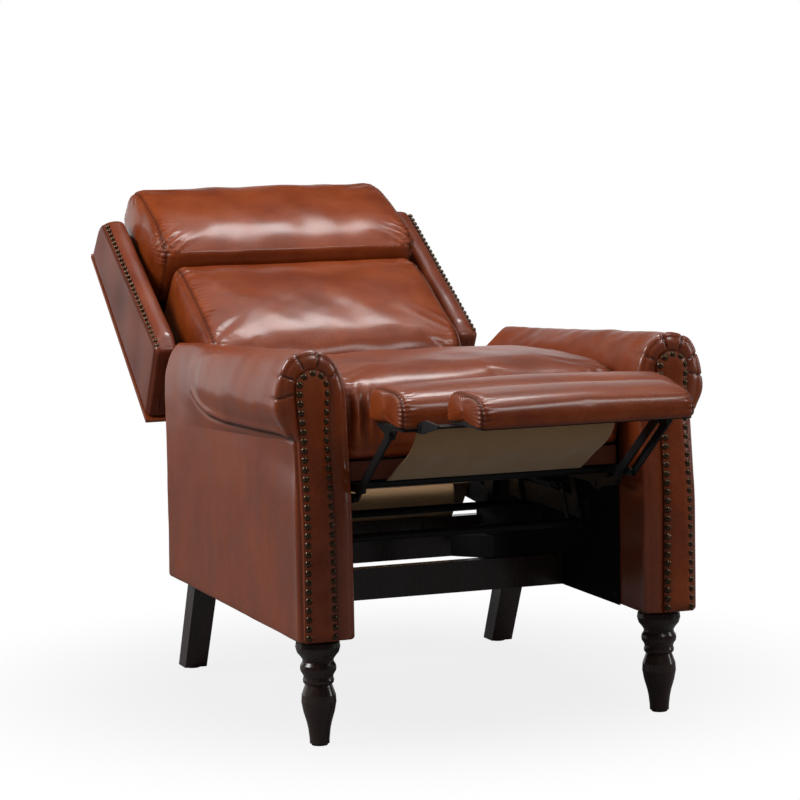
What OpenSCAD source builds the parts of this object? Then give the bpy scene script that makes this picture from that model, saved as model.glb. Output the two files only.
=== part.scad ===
// Push-back wingback recliner, drawn reclined with the footrest out.
// X runs across the seat, the sitter faces -Y, Z is up and the feet stand on z = 0.
// The layout is worked out with y = 0 at the front legs, then moved so that the
// origin lies under the middle of the whole chair.

/* [Arms and legs] */
// Clear width between the two arms
seat_gap = 496; // [470:1:530]
// Thickness of an arm below its roll
arm_w = 94; // [86:1:104]
// Distance from the front legs to the front face of the arms
arm_front = 41; // [38:1:48]
// Depth of an arm from its front face to its rear edge
arm_d = 708; // [690:1:740]
// Height of the arm above the floor
arm_h = 625; // [605:1:650]
// Height lost along the arm's top from its front to its rear
arm_fall = 40; // [25:1:55]
// Height of the rolled top of an arm, down to its crease on the outer side
roll_h = 139; // [120:1:150]
// Overhang of the roll beyond the outer side of the arm
roll_out = 19; // [14:1:26]
// Height of the legs
leg_h = 172; // [150:1:190]
// Largest radius of a turned front leg
leg_r = 35.5; // [30:0.5:38]
// Width of a square rear leg at its top
rear_leg_top = 42; // [38:1:56]
// Width of a square rear leg at its foot
rear_leg_foot = 40; // [30:1:46]
// Distance of the rear feet behind the arms
foot_reach = 25; // [5:1:40]
// Distance that a rear leg leans back between its top and its foot
rear_leg_rake = 80; // [60:1:100]

/* [Seat] */
// Height of the top of the wooden seat frame
deck_z = 440; // [434:1:446]
// Thickness of the seat frame's rails
seat_rail_h = 28; // [22:1:30]
// Front face of the seat frame
seat_front = 22; // [18:1:30]
// Depth of the seat frame
seat_d = 545; // [535:1:555]
// Thickness of the seat cushion at its crown
seat_cushion_t = 142; // [110:1:150]

/* [Back] */
// Lean of the back from upright in the pose drawn
back_tilt = 51.6; // [48:0.1:53]
// Turn of the back from the pose drawn to upright
back_travel = 38; // [30:1:38]
// Length of the back from its hinge to the top of the wings
back_len = 790; // [760:1:830]
// Thickness of the wooden frame of the back
back_frame_t = 50; // [40:1:55]
// Thickness of the upholstered panel behind the back
back_panel_t = 12.4; // [8:0.2:16]
// Thickness of a wing
wing_t = 43; // [36:1:48]
// Width between the two wings
wing_gap = 544; // [536:1:560]
// Length of a wing along its rear edge
wing_len = 458; // [430:1:480]
// Depth of a wing at its top
wing_top_d = 114; // [95:1:125]
// Depth of a wing at its bottom
wing_bottom_d = 162; // [145:1:170]
// Height of the head cushion along the back
head_len = 272; // [240:1:290]

/* [Footrest] */
// Width of the main footrest pad
pad_w = 470; // [462:1:478]
// Depth of the main footrest pad
pad_d = 146; // [140:1:148]
// Thickness of the main footrest pad
pad_t = 50; // [40:1:54]
// Width of the folding front pad
flip_w = 348; // [300:1:360]
// Depth of the folding front pad
flip_d = 141; // [120:1:142]
// Thickness of the folding front pad
flip_t = 41; // [34:1:43]
// Thickness of the boards that carry the pads
board_t = 12; // [10:0.5:13]

/* [Linkage] */
// Thickness of the steel links and plates
link_t = 4; // [3:0.5:4.5]
// Half width of a link
link_r = 7.5; // [6:0.25:8]
// Radius of the pivot studs
pin_r = 4; // [3:0.25:5]
// Running clearance of a link round its stud
run_gap = 0.05; // [0.02:0.01:0.1]
// Side gap between two neighbouring links
layer_gap = 1.5; // [1.5:0.1:1.8]
// Length of the lower footrest link between its two pivots
lower_len = 84.4; // [83.6:0.1:85.2]
// Length of the upper footrest link between its two pivots
upper_len = 169.1; // [168.4:0.1:169.8]
// Length of the links that carry the seat
swing_len = 75; // [65:1:80]
// Slope of those links above level in the pose drawn
swing_rest = 65.3; // [62:0.1:68]
// Turn of those links from the pose drawn to upright seating
swing_travel = 47.4; // [35:0.1:48]

/* [Hidden] */

// Shared clearances and one overrun for every cut
over = 2;
soft_gap = 0.3;
stud_float = 0.2;
bar_step = 0.05;
wing_clear = 15;
arm_clear = 6;
head_t = 1;
head_r = 6.5;
link_tail_r = link_r - 1;
link_boss_r = link_r + 2.5;

// Colours of the finishes
leather = [0.46, 0.17, 0.09];
dark_wood = [0.07, 0.04, 0.04];
raw_wood = [0.72, 0.58, 0.4];
black_wood = [0.09, 0.08, 0.075];
steel = [0.13, 0.13, 0.14];
lining = [0.05, 0.05, 0.05];
canvas = [0.66, 0.54, 0.38];

// Arms
arm_in = seat_gap / 2;
arm_out = arm_in + arm_w;
arm_rear = arm_d - arm_front;
foot_d = arm_rear + foot_reach;
roll_x = arm_in + 0.62 * arm_w;
roll_z = arm_h - 0.41 * roll_h;
skin_t = 12;
arm_hollow_h = 316;
post_w = 45;
arm_rail_h = 50;
lining_t = 2;
lining_top = deck_z + 20;
lining_front = 46;
panel_t = 6;
panel_r = 28;
panel_waist = 24;
panel_foot = 27;
panel_waist_z = arm_h - roll_h;
rail_t = 22;
mid_rail_y = 279;
mid_rail_h = 53;
rear_rail_h = 73;
glide_t = 3;
block = 60;
block_h = 40;

// Layers of steel across the chair, from the arm inwards
x_lining = arm_in - lining_t;
base_t = 3;
x_base = x_lining - base_t;
x_swing = x_base - layer_gap - head_t / 2 - link_t;
x_seat = x_swing - layer_gap - link_t;
x_lower = x_seat - layer_gap - link_t;
x_upper = x_lower - layer_gap - link_t;
x_flip = pad_w / 2 - 30;
x_ear = x_flip - layer_gap - link_t;

// Seat and its carrying links, as [y, z]
seat_rear = seat_front + seat_d;
rail_bottom = deck_z - seat_rail_h;
seat_pivot_z = deck_z - 55;
front_swing_top = [225, seat_pivot_z];
rear_swing_top = [480, seat_pivot_z];
swing_dir = [cos(swing_rest), sin(swing_rest)];
front_swing_foot = front_swing_top - swing_len * swing_dir;
rear_swing_foot = rear_swing_top - swing_len * swing_dir;
tube_r = 7;
swing_tail = 26;
plate_edge = 17;

// Back hinge and the back's own frame, upright and measured from the hinge
hinge = [575, deck_z - 155];
back_rear = 92.4;
frame_rear = back_rear - back_panel_t;
frame_front = frame_rear - back_frame_t;
back_foot = 70;
wing_z = back_len - wing_len;
lower_half = x_lower;
upper_half = wing_gap / 2;
post_t = 32;
crease_z = back_len * 0.7203;
lumbar_foot = back_len * 0.31;
lumbar_front = 140;
crease_front = 81;
head_front = 105;
head_half = upper_half - wing_clear;
lumbar_half = arm_in - arm_clear;

// Footrest linkage, as [y, z] in the pose drawn
lower_pivot = [71.5, deck_z - 41.3];
pad_pivot = [-150, 503];
control_pivot = lower_pivot + [25, -28.9];
control_tail = [-27.6, 3.2];
steady_foot = [lower_len + 27.3, 1.4];
steady_tail = [-23.6, 0.7];
drive_tube_r = 9;
board_z = pad_pivot[1] + 13;
pad_z = board_z + board_t;
pad_rear = pad_pivot[0] + 68;
pad_front = pad_rear - pad_d;
flip_hinge = [pad_front - 9, board_z + 4];
flip_board_z = flip_hinge[1] + 9;
flip_z = flip_board_z + board_t;
flip_rear = flip_hinge[0] - 13;
flip_front = flip_rear - flip_d;
ear_r = 9;

// Angle of the lower link for a wanted place of the pad pivot, by the law of cosines
function reach(p) = norm(p - lower_pivot);
function heading(v) = atan2(v[1], v[0]);
function turn(a, v) = [v[0] * cos(a) - v[1] * sin(a), v[0] * sin(a) + v[1] * cos(a)];
function lower_angle(p) =
    heading(p - lower_pivot)
    + acos((pow(lower_len, 2) + pow(reach(p), 2) - pow(upper_len, 2)) / (2 * lower_len * reach(p)));
lower_rest = lower_angle(pad_pivot) + 360 * (lower_angle(pad_pivot) < 0 ? 1 : 0);
knee = lower_pivot + turn(lower_rest, [lower_len, 0]);
upper_rest = heading(pad_pivot - knee);
control_end = knee + turn(upper_rest, control_tail);
steady_start = lower_pivot + turn(lower_rest, steady_foot);
steady_end = pad_pivot + steady_tail;

// Tension springs
spring_r = 6.5;
spring_wire = 1.1;
spring_turns = 18;
spring_x = x_upper - 9;
spring_front = front_swing_top - [17, 35];
spring_rear = front_swing_top + [124, -30];
spring_stud_r = 2;

// Pad outlines as shares of their depth and thickness, from the rear foot over the top to the front foot
pad_outline_shares = [
    [0.02, 0.03], [-0.005, 0.3], [0.01, 0.66], [0.09, 0.92], [0.28, 1], [0.6, 1], [0.88, 0.95], [0.985, 0.72],
    [1.005, 0.36], [0.98, 0.03], [0.7, 0], [0.3, 0]
];

// Whole chair's reach to the front and rear sets the origin
back_top = hinge + [back_rear * cos(back_tilt) + back_len * sin(back_tilt),
                    back_len * cos(back_tilt) - back_rear * sin(back_tilt)];
chair_front = min([for (q = pad_outline(flip_rear, flip_d, flip_z, flip_t)) q[0]]);
y_mid = (chair_front + back_top[0]) / 2;
echo(y_mid = y_mid);

// Moves a sub-part from the layout to the chair's own origin
module set_down() { translate([0, -y_mid, 0]) children(); }

// Draws a right-hand shape on either side of the chair
module on_side(side) {
    if (side < 0) mirror([1, 0, 0]) children();
    else children();
}

// Raises a flat outline in [y, z] to a plate between two distances across the chair
module slab(x, t) { translate([x, 0, 0]) rotate([90, 0, 90]) linear_extrude(height = t) children(); }

// Raises an outline in [x, z] to a plate between two depths
module wall_y(y, t) { translate([0, y + t, 0]) rotate([90, 0, 0]) linear_extrude(height = t) children(); }

// Flat bar with round ends from one pivot to another, its straight sides a hair inside the ends
module bar(p, q, r) {
    side = r - bar_step;
    translate(p) circle(r = r, $fn = 40);
    translate(q) circle(r = r, $fn = 40);
    translate(p) rotate(heading(q - p)) translate([0, -side]) square([norm(q - p), 2 * side]);
}

// Hole in a link for a stud
module stud_hole(p) { translate(p) circle(r = pin_r + run_gap, $fn = 40); }

// Round rod across the chair
module rod(p, x0, x1, r) {
    translate([x0, p[0], p[1]]) rotate([0, 90, 0]) cylinder(h = x1 - x0, r = r, $fn = 40);
}

// Stud that stands inwards from a plate's inner face through a link, with its head
module stud_in(p, x_face, x_link) {
    rod(p, x_link - stud_float - head_t, x_face, pin_r);
    rod(p, x_link - stud_float - head_t, x_link - stud_float, head_r);
}

// Stud that stands outwards from a plate's outer face through a link, with its head
module stud_out(p, x_face, x_link) {
    rod(p, x_face, x_link + link_t + stud_float + head_t, pin_r);
    rod(p, x_link + link_t + stud_float, x_link + link_t + stud_float + head_t, head_r);
}

// Closed smooth line through hand-placed points, sampled evenly between them
function wrap(p, i) = p[(i + 2 * len(p)) % len(p)];
function spline(a, b, c, d, t) =
    0.5 * (2 * b + (c - a) * t + (2 * a - 5 * b + 4 * c - d) * t * t + (3 * b - a - 3 * c + d) * t * t * t);
function smooth_loop(p, n) = [
    for (i = [0:len(p) - 1], k = [0:n - 1])
        spline(wrap(p, i - 1), wrap(p, i), wrap(p, i + 1), wrap(p, i + 2), k / n)
];

function mean(p) = p * [for (q = p) 1] / len(p);
function centre(p) = [mean([for (q = p) q[0]]), mean([for (q = p) q[1]])];

// Shares of the half width at which a cushion's sections lie, and how far each is drawn in
function edge_in(s, half, round_r) =
    let (t = max(0, (s * half - half + round_r) / round_r)) round_r * (1 - sqrt(max(0, 1 - t * t)));
section_shares = [0, 0.3, 0.55, 0.75, 0.86, 0.93, 0.97, 0.992, 1];
function both_ways(p) = concat([for (i = [len(p) - 1:-1:1]) -p[i]], p);

// Cushion: one outline in [y, z] carried across the chair, its ends rounded by round_r,
// its crown lifted along the middle and its sides drawn in by pull between the corners
module cushion(outline, half, round_r, pull, crown, floor_z) {
    c = centre(outline);
    y_lo = min([for (q = outline) q[0]]);
    y_hi = max([for (q = outline) q[0]]);
    z_hi = max([for (q = outline) q[1]]);
    shares = both_ways(section_shares);
    n = len(outline);
    m = len(shares);
    points = [
        for (s = shares, q = outline)
            let (
                a = abs(s),
                inset = edge_in(a, half, round_r),
                v = q - c,
                d = max(norm(v), 1),
                along = 2 * (q[0] - y_lo) / (y_hi - y_lo) - 1,
                up = max(0, (q[1] - c[1]) / (z_hi - c[1])),
                lift = crown * up * (1 - a * a),
                y = q[0] - v[0] / d * min(inset, d / 2),
                z = q[1] - v[1] / d * min(inset, d / 2) + lift
            )
            [s * (half - pull * (1 - along * along)), y, max(z, floor_z)]
    ];
    ends = [[points[0][0], c[0], c[1]], [points[n * m - 1][0], c[0], c[1]]];
    skin = [
        for (k = [0:m - 2], j = [0:n - 1])
            let (a = k * n + j, b = k * n + (j + 1) % n)
            each [[a, b, b + n], [a, b + n, a + n]]
    ];
    caps = [
        for (j = [0:n - 1])
            each [[n * m, (j + 1) % n, j], [n * m + 1, (m - 1) * n + j, (m - 1) * n + (j + 1) % n]]
    ];
    polyhedron(points = concat(points, ends), faces = concat(skin, caps), convexity = 4);
}

// Upright back, hinged and leaning
module on_back() {
    translate([0, hinge[0], hinge[1]]) rotate([-back_tilt, 0, 0]) children();
}

// An arm's cross-section in front and at the rear, as shares of its width and of the roll's
// height down from its top: a full roll over a crease, which flattens towards the rear
front_roll_shares = [
    [0, 0.58], [0.02, 0.45], [0.075, 0.3], [0.19, 0.145], [0.36, 0.045], [0.55, 0], [0.76, 0.012],
    [0.95, 0.06], [1.11, 0.155], [1.22, 0.28], [1.28, 0.42], [1.28, 0.56], [1.24, 0.7], [1.165, 0.83],
    [1.07, 0.94], [1, 1]
];
rear_roll_shares = [
    [0, 0.45], [0.07, 0.34], [0.2, 0.25], [0.36, 0.15], [0.5, 0.06], [0.6, 0.01], [0.68, 0], [0.75, 0.02],
    [0.82, 0.08], [0.88, 0.16], [0.93, 0.26], [0.97, 0.36], [0.99, 0.46], [1, 0.62], [1, 0.8], [1, 1]
];
// Shares of the arm's depth at which its sections lie
arm_depth_shares = [0, 0.012, 0.1, 0.25, 0.4, 0.48, 0.56, 0.64, 0.72, 0.8, 0.88, 0.94, 0.985, 1];

function ease(t) = let (c = min(1, max(0, t))) c * c * (3 - 2 * c);
function arm_top(t) = arm_h - arm_fall * t;
function arm_point(f, r, t) =
    let (
        m = ease((t - 0.42) / 0.5),
        u = f[0] + (r[0] - f[0]) * m,
        over_out = max(0, u - 1) / (max([for (q = front_roll_shares) q[0]]) - 1)
    )
    [arm_in + min(u, 1) * arm_w + over_out * roll_out, arm_top(t) - (f[1] + (r[1] - f[1]) * m) * roll_h];
function arm_section(t) =
    let (
        edge = t == 0 || t == 1 ? skin_t / 3 : 0,
        roll = [
            for (i = [0:len(front_roll_shares) - 1])
                let (q = arm_point(front_roll_shares[i], rear_roll_shares[i], t))
                [q[0] - edge * (2 * i / (len(front_roll_shares) - 1) - 1), q[1] - edge]
        ]
    )
    concat([[arm_in + edge, leg_h]], roll, [[arm_out - edge, leg_h]]);

// Solid through a list of closed lines of points, all of one length
module loft(loops) {
    n = len(loops[0]);
    m = len(loops);
    skin = [
        for (k = [0:m - 2], j = [0:n - 1])
            let (a = k * n + j, b = k * n + (j + 1) % n)
            each [[a, b, b + n], [a, b + n, a + n]]
    ];
    caps = [[for (j = [n - 1:-1:0]) j], [for (j = [0:n - 1]) (m - 1) * n + j]];
    polyhedron(points = [for (loop = loops) each loop], faces = concat(skin, caps), convexity = 6);
}

// Hollow that holds the arm's wooden frame
module arm_hollow(grow) {
    translate([arm_in + skin_t - grow, skin_t + panel_t - arm_front - grow, leg_h + skin_t - grow])
        cube([
            arm_w - 2 * skin_t + 2 * grow, arm_d - 2 * skin_t - panel_t + 2 * grow, arm_hollow_h + 2 * grow
        ]);
}

module arm_cover(side) {
    loops = [
        for (t = arm_depth_shares)
            [for (q = arm_section(t)) [q[0], t * arm_d - arm_front, q[1]]]
    ];
    color(leather) set_down() on_side(side) difference() {
        loft(loops);
        arm_hollow(soft_gap / 2);
    }
}

module arm_frame(side) {
    depth = arm_d - 2 * skin_t - panel_t;
    high = arm_hollow_h;
    color(raw_wood) set_down() on_side(side) difference() {
        arm_hollow(0);
        translate([arm_in, skin_t + panel_t - arm_front + post_w, leg_h + skin_t + arm_rail_h])
            cube([arm_w, depth / 2 - 1.5 * post_w, high - 2 * arm_rail_h]);
        translate([arm_in, skin_t + panel_t - arm_front + depth / 2 + post_w / 2, leg_h + skin_t + arm_rail_h])
            cube([arm_w, depth / 2 - 1.5 * post_w, high - 2 * arm_rail_h]);
    }
}

module arm_lining(side) {
    color(lining) set_down() on_side(side)
        translate([x_lining, lining_front, leg_h])
            cube([lining_t, arm_rear - lining_front, lining_top - leg_h]);
}

// Half width of the front panel at each height: full at the arch, narrow at the waist
function panel_half(z) =
    z > panel_waist_z
        ? panel_waist + (panel_r - panel_waist) * (1 - cos(180 * (z - panel_waist_z) / (roll_z - panel_waist_z))) / 2
        : panel_foot + (panel_waist - panel_foot) * (z - leg_h) / (panel_waist_z - leg_h);
panel_steps = 10;
panel_sides = [for (i = [0:panel_steps]) panel_waist_z + (roll_z - panel_waist_z) * i / panel_steps];

module front_panel(side) {
    right = concat([[panel_foot, leg_h]], [for (z = panel_sides) [panel_half(z), z]]);
    arch = [for (a = [15:15:165]) [panel_r * cos(a), roll_z + panel_r * sin(a)]];
    left = [for (i = [len(right) - 1:-1:0]) [-right[i][0], right[i][1]]];
    color(leather) set_down() on_side(side)
        translate([roll_x, 0, 0]) wall_y(-arm_front - panel_t, panel_t) polygon(concat(right, arch, left));
}

// Turned leg: radii as shares of the largest, heights as shares of the leg
leg_shares = [
    [0.44, 0], [0.45, 0.05], [0.5, 0.14], [0.56, 0.2], [0.7, 0.3], [0.78, 0.39], [0.76, 0.46],
    [0.66, 0.52], [0.6, 0.555], [0.68, 0.575], [0.7, 0.6], [0.67, 0.62], [0.66, 0.635], [0.7, 0.655],
    [0.79, 0.685], [0.81, 0.71], [0.79, 0.74], [0.7, 0.77], [0.69, 0.79], [0.76, 0.815],
    [0.93, 0.86], [1, 0.91], [0.97, 0.955], [0.85, 0.985], [0.8, 1]
];
front_leg_x = arm_in + arm_w / 2;

module front_leg(side) {
    high = leg_h - glide_t;
    color(dark_wood) set_down() on_side(side) translate([front_leg_x, 0, glide_t])
        rotate_extrude($fn = 72)
            polygon(concat([[0, 0]], [for (s = leg_shares) [s[0] * leg_r, s[1] * high]], [[0, high]]));
}

rear_leg_x = arm_in + arm_w / 2;

module rear_leg(side) {
    top_y = foot_d - rear_leg_rake;
    half_top = rear_leg_top / 2;
    half_foot = rear_leg_foot / 2;
    thin = glide_t / 3;
    color(dark_wood) set_down() on_side(side) translate([rear_leg_x, 0, 0]) hull() {
        translate([-half_foot, foot_d - half_foot, glide_t]) cube([rear_leg_foot, rear_leg_foot, thin]);
        translate([-half_top, top_y - half_top, leg_h - thin]) cube([rear_leg_top, rear_leg_top, thin]);
    }
}

module leg_glides() {
    color(lining) set_down() for (side = [-1, 1]) on_side(side) {
        translate([front_leg_x, 0, 0]) cylinder(h = glide_t, r = leg_r * 0.36, $fn = 40);
        translate([rear_leg_x, foot_d, 0]) cylinder(h = glide_t, r = rear_leg_foot * 0.32, $fn = 40);
    }
}

module mid_rail() {
    color(dark_wood) set_down() translate([-x_lining, mid_rail_y, leg_h])
        cube([2 * x_lining, rail_t, mid_rail_h]);
}

module rear_rail() {
    color(dark_wood) set_down() translate([-x_lining, arm_rear - rail_t, leg_h])
        cube([2 * x_lining, rail_t, rear_rail_h]);
}

module corner_blocks() {
    color(black_wood) set_down() for (side = [-1, 1]) on_side(side)
        translate([x_lining, arm_rear - rail_t, leg_h]) linear_extrude(height = block_h)
            polygon([[0, 0], [-block, 0], [0, -block]]);
}

// Steel plate screwed to the arm, which carries the seat's links
module base_plate(side) {
    low = front_swing_foot[1] - plate_edge;
    color(steel) set_down() on_side(side) {
        slab(x_base, base_t) polygon([
            [front_swing_foot[0] - 2 * plate_edge, low], [rear_swing_foot[0] + 3 * plate_edge, low],
            [rear_swing_foot[0] + 3 * plate_edge, low + 2 * plate_edge],
            [front_swing_foot[0] - 2 * plate_edge, low + 2 * plate_edge]
        ]);
        stud_in(front_swing_foot, x_base, x_swing);
        stud_in(rear_swing_foot, x_base, x_swing);
    }
}

// Link between the base plate and the seat plate, with a tail for its cross tube
module swing_link(foot, top) {
    tail = foot - swing_tail * swing_dir;
    slab(x_swing, link_t) difference() {
        union() {
            bar(foot, top, link_r + 1.5);
            bar(tail, foot, link_r + 1.5);
        }
        stud_hole(foot);
        stud_hole(top);
    }
}

module swing_tube(foot) {
    tail = foot - swing_tail * swing_dir;
    rod(tail, -x_swing, x_swing, tube_r);
}

module front_swing_link(side) { color(steel) set_down() on_side(side) swing_link(front_swing_foot, front_swing_top); }

module rear_swing_link(side) { color(steel) set_down() on_side(side) swing_link(rear_swing_foot, rear_swing_top); }

// Front cross tube, with a lug on either side for a tension spring
module front_swing_tube() {
    lug_t = 3;
    color(steel) set_down() {
        swing_tube(front_swing_foot);
        for (side = [-1, 1]) on_side(side) {
            slab(spring_x + spring_r - lug_t, lug_t)
                bar(front_swing_foot - swing_tail * swing_dir, spring_front, link_r * 0.8);
            rod(spring_front, spring_x - spring_r / 2, spring_x + spring_r, spring_stud_r);
        }
    }
}

module rear_swing_tube() { color(steel) set_down() swing_tube(rear_swing_foot); }

// Main steel side of the mechanism: carries the seat, the footrest links and the back
module seat_plate(side) {
    low = seat_pivot_z - plate_edge;
    top = deck_z - seat_rail_h / 4;
    color(steel) set_down() on_side(side) {
        slab(x_seat, link_t) {
            polygon([
                [lower_pivot[0] - plate_edge, top], [lower_pivot[0] - plate_edge, lower_pivot[1] - link_r],
                [control_pivot[0] - link_r, control_pivot[1] - link_r * 1.3],
                [control_pivot[0] + link_r, control_pivot[1] - link_r * 1.3],
                [control_pivot[0] + plate_edge * 2, low], [rear_swing_top[0] + plate_edge, low],
                [hinge[0] - plate_edge * 1.6, hinge[1] + plate_edge * 2], [hinge[0] - plate_edge, hinge[1]],
                [hinge[0] + plate_edge, hinge[1]], [hinge[0] + plate_edge, top - plate_edge * 2],
                [seat_rear, top]
            ]);
            translate(hinge) circle(r = plate_edge, $fn = 48);
        }
        stud_out(front_swing_top, x_seat + link_t, x_swing);
        stud_out(rear_swing_top, x_seat + link_t, x_swing);
        stud_in(lower_pivot, x_seat, x_lower);
        stud_in(control_pivot, x_seat, x_lower);
        stud_in(hinge, x_seat, x_lower);
        slab(x_seat, link_t) bar(spring_rear, [spring_rear[0], low + link_r], link_r);
        rod(spring_rear, spring_x - spring_r / 2, x_seat, spring_stud_r);
    }
}

module seat_frame() {
    side_t = 24;
    color(black_wood) set_down() difference() {
        translate([-x_seat, seat_front, rail_bottom]) cube([2 * x_seat, seat_d, seat_rail_h]);
        translate([side_t - x_seat, seat_front + rail_t, rail_bottom - over])
            cube([2 * x_seat - 2 * side_t, seat_d - 2 * rail_t, seat_rail_h + 2 * over]);
    }
}

// Sinuous springs across the seat frame: an even wave from the front rail to the rear rail
wave_count = 7;
wave_half = 20;
wave_wire = 2;
wave_x_shares = [0.22, 0.66];
wave_steps = 16;

module seat_springs() {
    y0 = seat_front + rail_t + wave_wire;
    long = seat_d - 2 * (rail_t + wave_wire);
    steps = wave_count * wave_steps;
    mid = [for (i = [0:steps]) [wave_half * sin(360 * i / wave_steps), y0 + long * i / steps]];
    left = [for (i = [0:steps]) mid[i] + wave_wire * normal(mid, i)];
    right = [for (i = [steps:-1:0]) mid[i] - wave_wire * normal(mid, i)];
    color(steel) set_down() for (side = [-1, 1], s = wave_x_shares) on_side(side)
        translate([s * x_seat, 0, deck_z - 3 * wave_wire]) linear_extrude(height = 2 * wave_wire)
            polygon(concat(left, right));
}

// Unit normal of a line of points at one of them
function normal(p, i) =
    let (v = p[min(i + 1, len(p) - 1)] - p[max(i - 1, 0)]) [v[1], -v[0]] / max(norm(v), 0.001);

// Seat cushion's outline as shares of its depth and thickness, from the front foot round the top
seat_outline_shares = [
    [0.03, 0.01], [-0.005, 0.16], [-0.012, 0.42], [0.0, 0.72], [0.055, 0.9], [0.17, 0.965], [0.36, 0.985],
    [0.58, 0.955], [0.76, 0.87], [0.88, 0.72], [0.955, 0.5], [0.985, 0.24], [0.96, 0.01],
    [0.75, 0], [0.5, 0], [0.25, 0]
];

module seat_cushion() {
    outline = smooth_loop([
        for (s = seat_outline_shares)
            [seat_front + s[0] * (seat_d + rail_t), deck_z + s[1] * seat_cushion_t]
    ], 2);
    color(leather) set_down() cushion(outline, lumbar_half - 2, 22, 3, seat_cushion_t * 0.03, deck_z + soft_gap);
}

// Slack canvas between the footrest board and the front rail of the seat, as shares of its span and drop
cloth_shares = [
    [0, 0], [0.03, 0.17], [0.1, 0.33], [0.2, 0.45], [0.34, 0.56], [0.5, 0.66], [0.66, 0.76], [0.82, 0.88],
    [1, 1]
];
cloth_half = x_ear * 0.845;
cloth_t = 1.6;
cloth_hem = 60;
cloth_tack = 0.75;

module gap_cloth() {
    y0 = pad_front + cloth_tack * pad_d;
    z0 = board_z - soft_gap;
    span = seat_front - soft_gap - cloth_t - y0;
    drop = z0 - (rail_bottom - 4);
    fall = [for (s = cloth_shares) [y0 + s[0] * span, z0 - s[1] * drop]];
    last = len(fall) - 1;
    rise = [for (i = [last:-1:0]) fall[i] + cloth_t * (i % last == 0 ? [1, 0] : [0.8, 0.5])];
    color(canvas) set_down() slab(-cloth_half, 2 * cloth_half) polygon(concat(fall, rise));
}

// Tension spring: one unbroken tube, two straight tails, quarter bends and even turns between
function spring_path(turns, r, long, steps) = concat(
    [[-long / 2, 0, 0], [-long / 2 + 3 * spring_wire, 0, 0]],
    [
        for (i = [0:turns * steps])
            let (a = 360 * i / steps, body = 0.72 * long, ramp = min(1, min(i, turns * steps - i) / (steps / 2)))
            [-body / 2 + body * i / (turns * steps), ramp * r * sin(a), ramp * r * cos(a)]
    ],
    [[long / 2 - 3 * spring_wire, 0, 0], [long / 2, 0, 0]]
);

function unit(v) = v / max(norm(v), 0.0001);

// Tube of even radius swept along a path, closed at both ends
module tube(path, r, sides) {
    m = len(path);
    points = [
        for (i = [0:m - 1])
            let (
                t = unit(path[min(i + 1, m - 1)] - path[max(i - 1, 0)]),
                u = unit(cross([0.3, 0.1, 1], t)),
                v = cross(t, u)
            )
            for (k = [0:sides - 1])
                path[i] + r * (cos(360 * k / sides) * u + sin(360 * k / sides) * v)
    ];
    skin = [
        for (i = [0:m - 2], k = [0:sides - 1])
            let (a = i * sides + k, b = i * sides + (k + 1) % sides)
            each [[a, b + sides, b], [a, a + sides, b + sides]]
    ];
    caps = [[for (k = [0:sides - 1]) k], [for (k = [sides - 1:-1:0]) (m - 1) * sides + k]];
    polyhedron(points = points, faces = concat(skin, caps), convexity = 10);
}

spring_span = norm(spring_rear - spring_front) - 2 * spring_stud_r - 2 * soft_gap;
spring_line = spring_path(spring_turns, spring_r - spring_wire, spring_span, 8);
echo(spring_gap = spring_self_gap());

// Least distance between points one or more turns apart, less the wire
function spring_self_gap() = min([
    for (i = [2:len(spring_line) - 12], j = [6:10]) norm(spring_line[i] - spring_line[i + j])
]) - 2 * spring_wire;

module tension_spring(side) {
    middle = (spring_front + spring_rear) / 2;
    color(steel) set_down() on_side(side)
        translate([spring_x, middle[0], middle[1]]) rotate([heading(spring_rear - spring_front), 0, 0])
            rotate([0, 0, 90]) tube(spring_line, spring_wire, 6);
}

// Wooden frame of the back: a narrow part between the arms under a wide part between the wings
module back_frame() {
    rail = 40;
    deep = back_frame_t;
    y = frame_front;
    color(raw_wood) set_down() on_back() {
        difference() {
            union() {
                translate([-lower_half, y, back_foot]) cube([2 * lower_half, deep, wing_z - back_foot + rail]);
                translate([-upper_half, y, wing_z]) cube([2 * upper_half, deep, wing_len - 10]);
            }
            translate([post_t - lower_half, y - over, back_foot + rail])
                cube([2 * lower_half - 2 * post_t, deep + 2 * over, wing_z - back_foot - rail]);
            translate([post_t - upper_half, y - over, wing_z + rail])
                cube([2 * upper_half - 2 * post_t, deep + 2 * over, wing_len - 10 - 2 * rail]);
        }
    }
}

// Upholstered panel that closes the rear of the back, with rounded rear edges
module back_panel() {
    wide = upper_half + wing_t;
    color(leather) set_down() on_back() translate([0, frame_rear + back_panel_t, 0]) rotate([90, 0, 0])
        linear_extrude(height = back_panel_t) polygon([
            [-lower_half, back_foot], [lower_half, back_foot], [lower_half, wing_z], [wide, wing_z],
            [wide, back_len], [-wide, back_len], [-wide, wing_z], [-lower_half, wing_z]
        ]);
}

module back_bracket(side) {
    color(steel) set_down() on_side(side) on_back() slab(x_lower, link_t) difference() {
        union() {
            circle(r = plate_edge - 1, $fn = 48);
            polygon([
                [-plate_edge * 0.5, plate_edge * 0.8], [plate_edge * 0.9, -plate_edge * 0.35],
                [frame_rear, back_foot + 20], [frame_rear, wing_z - 20], [frame_front, wing_z - 20],
                [frame_front, back_foot + 60]
            ]);
        }
        circle(r = pin_r + run_gap, $fn = 40);
    }
}

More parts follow.
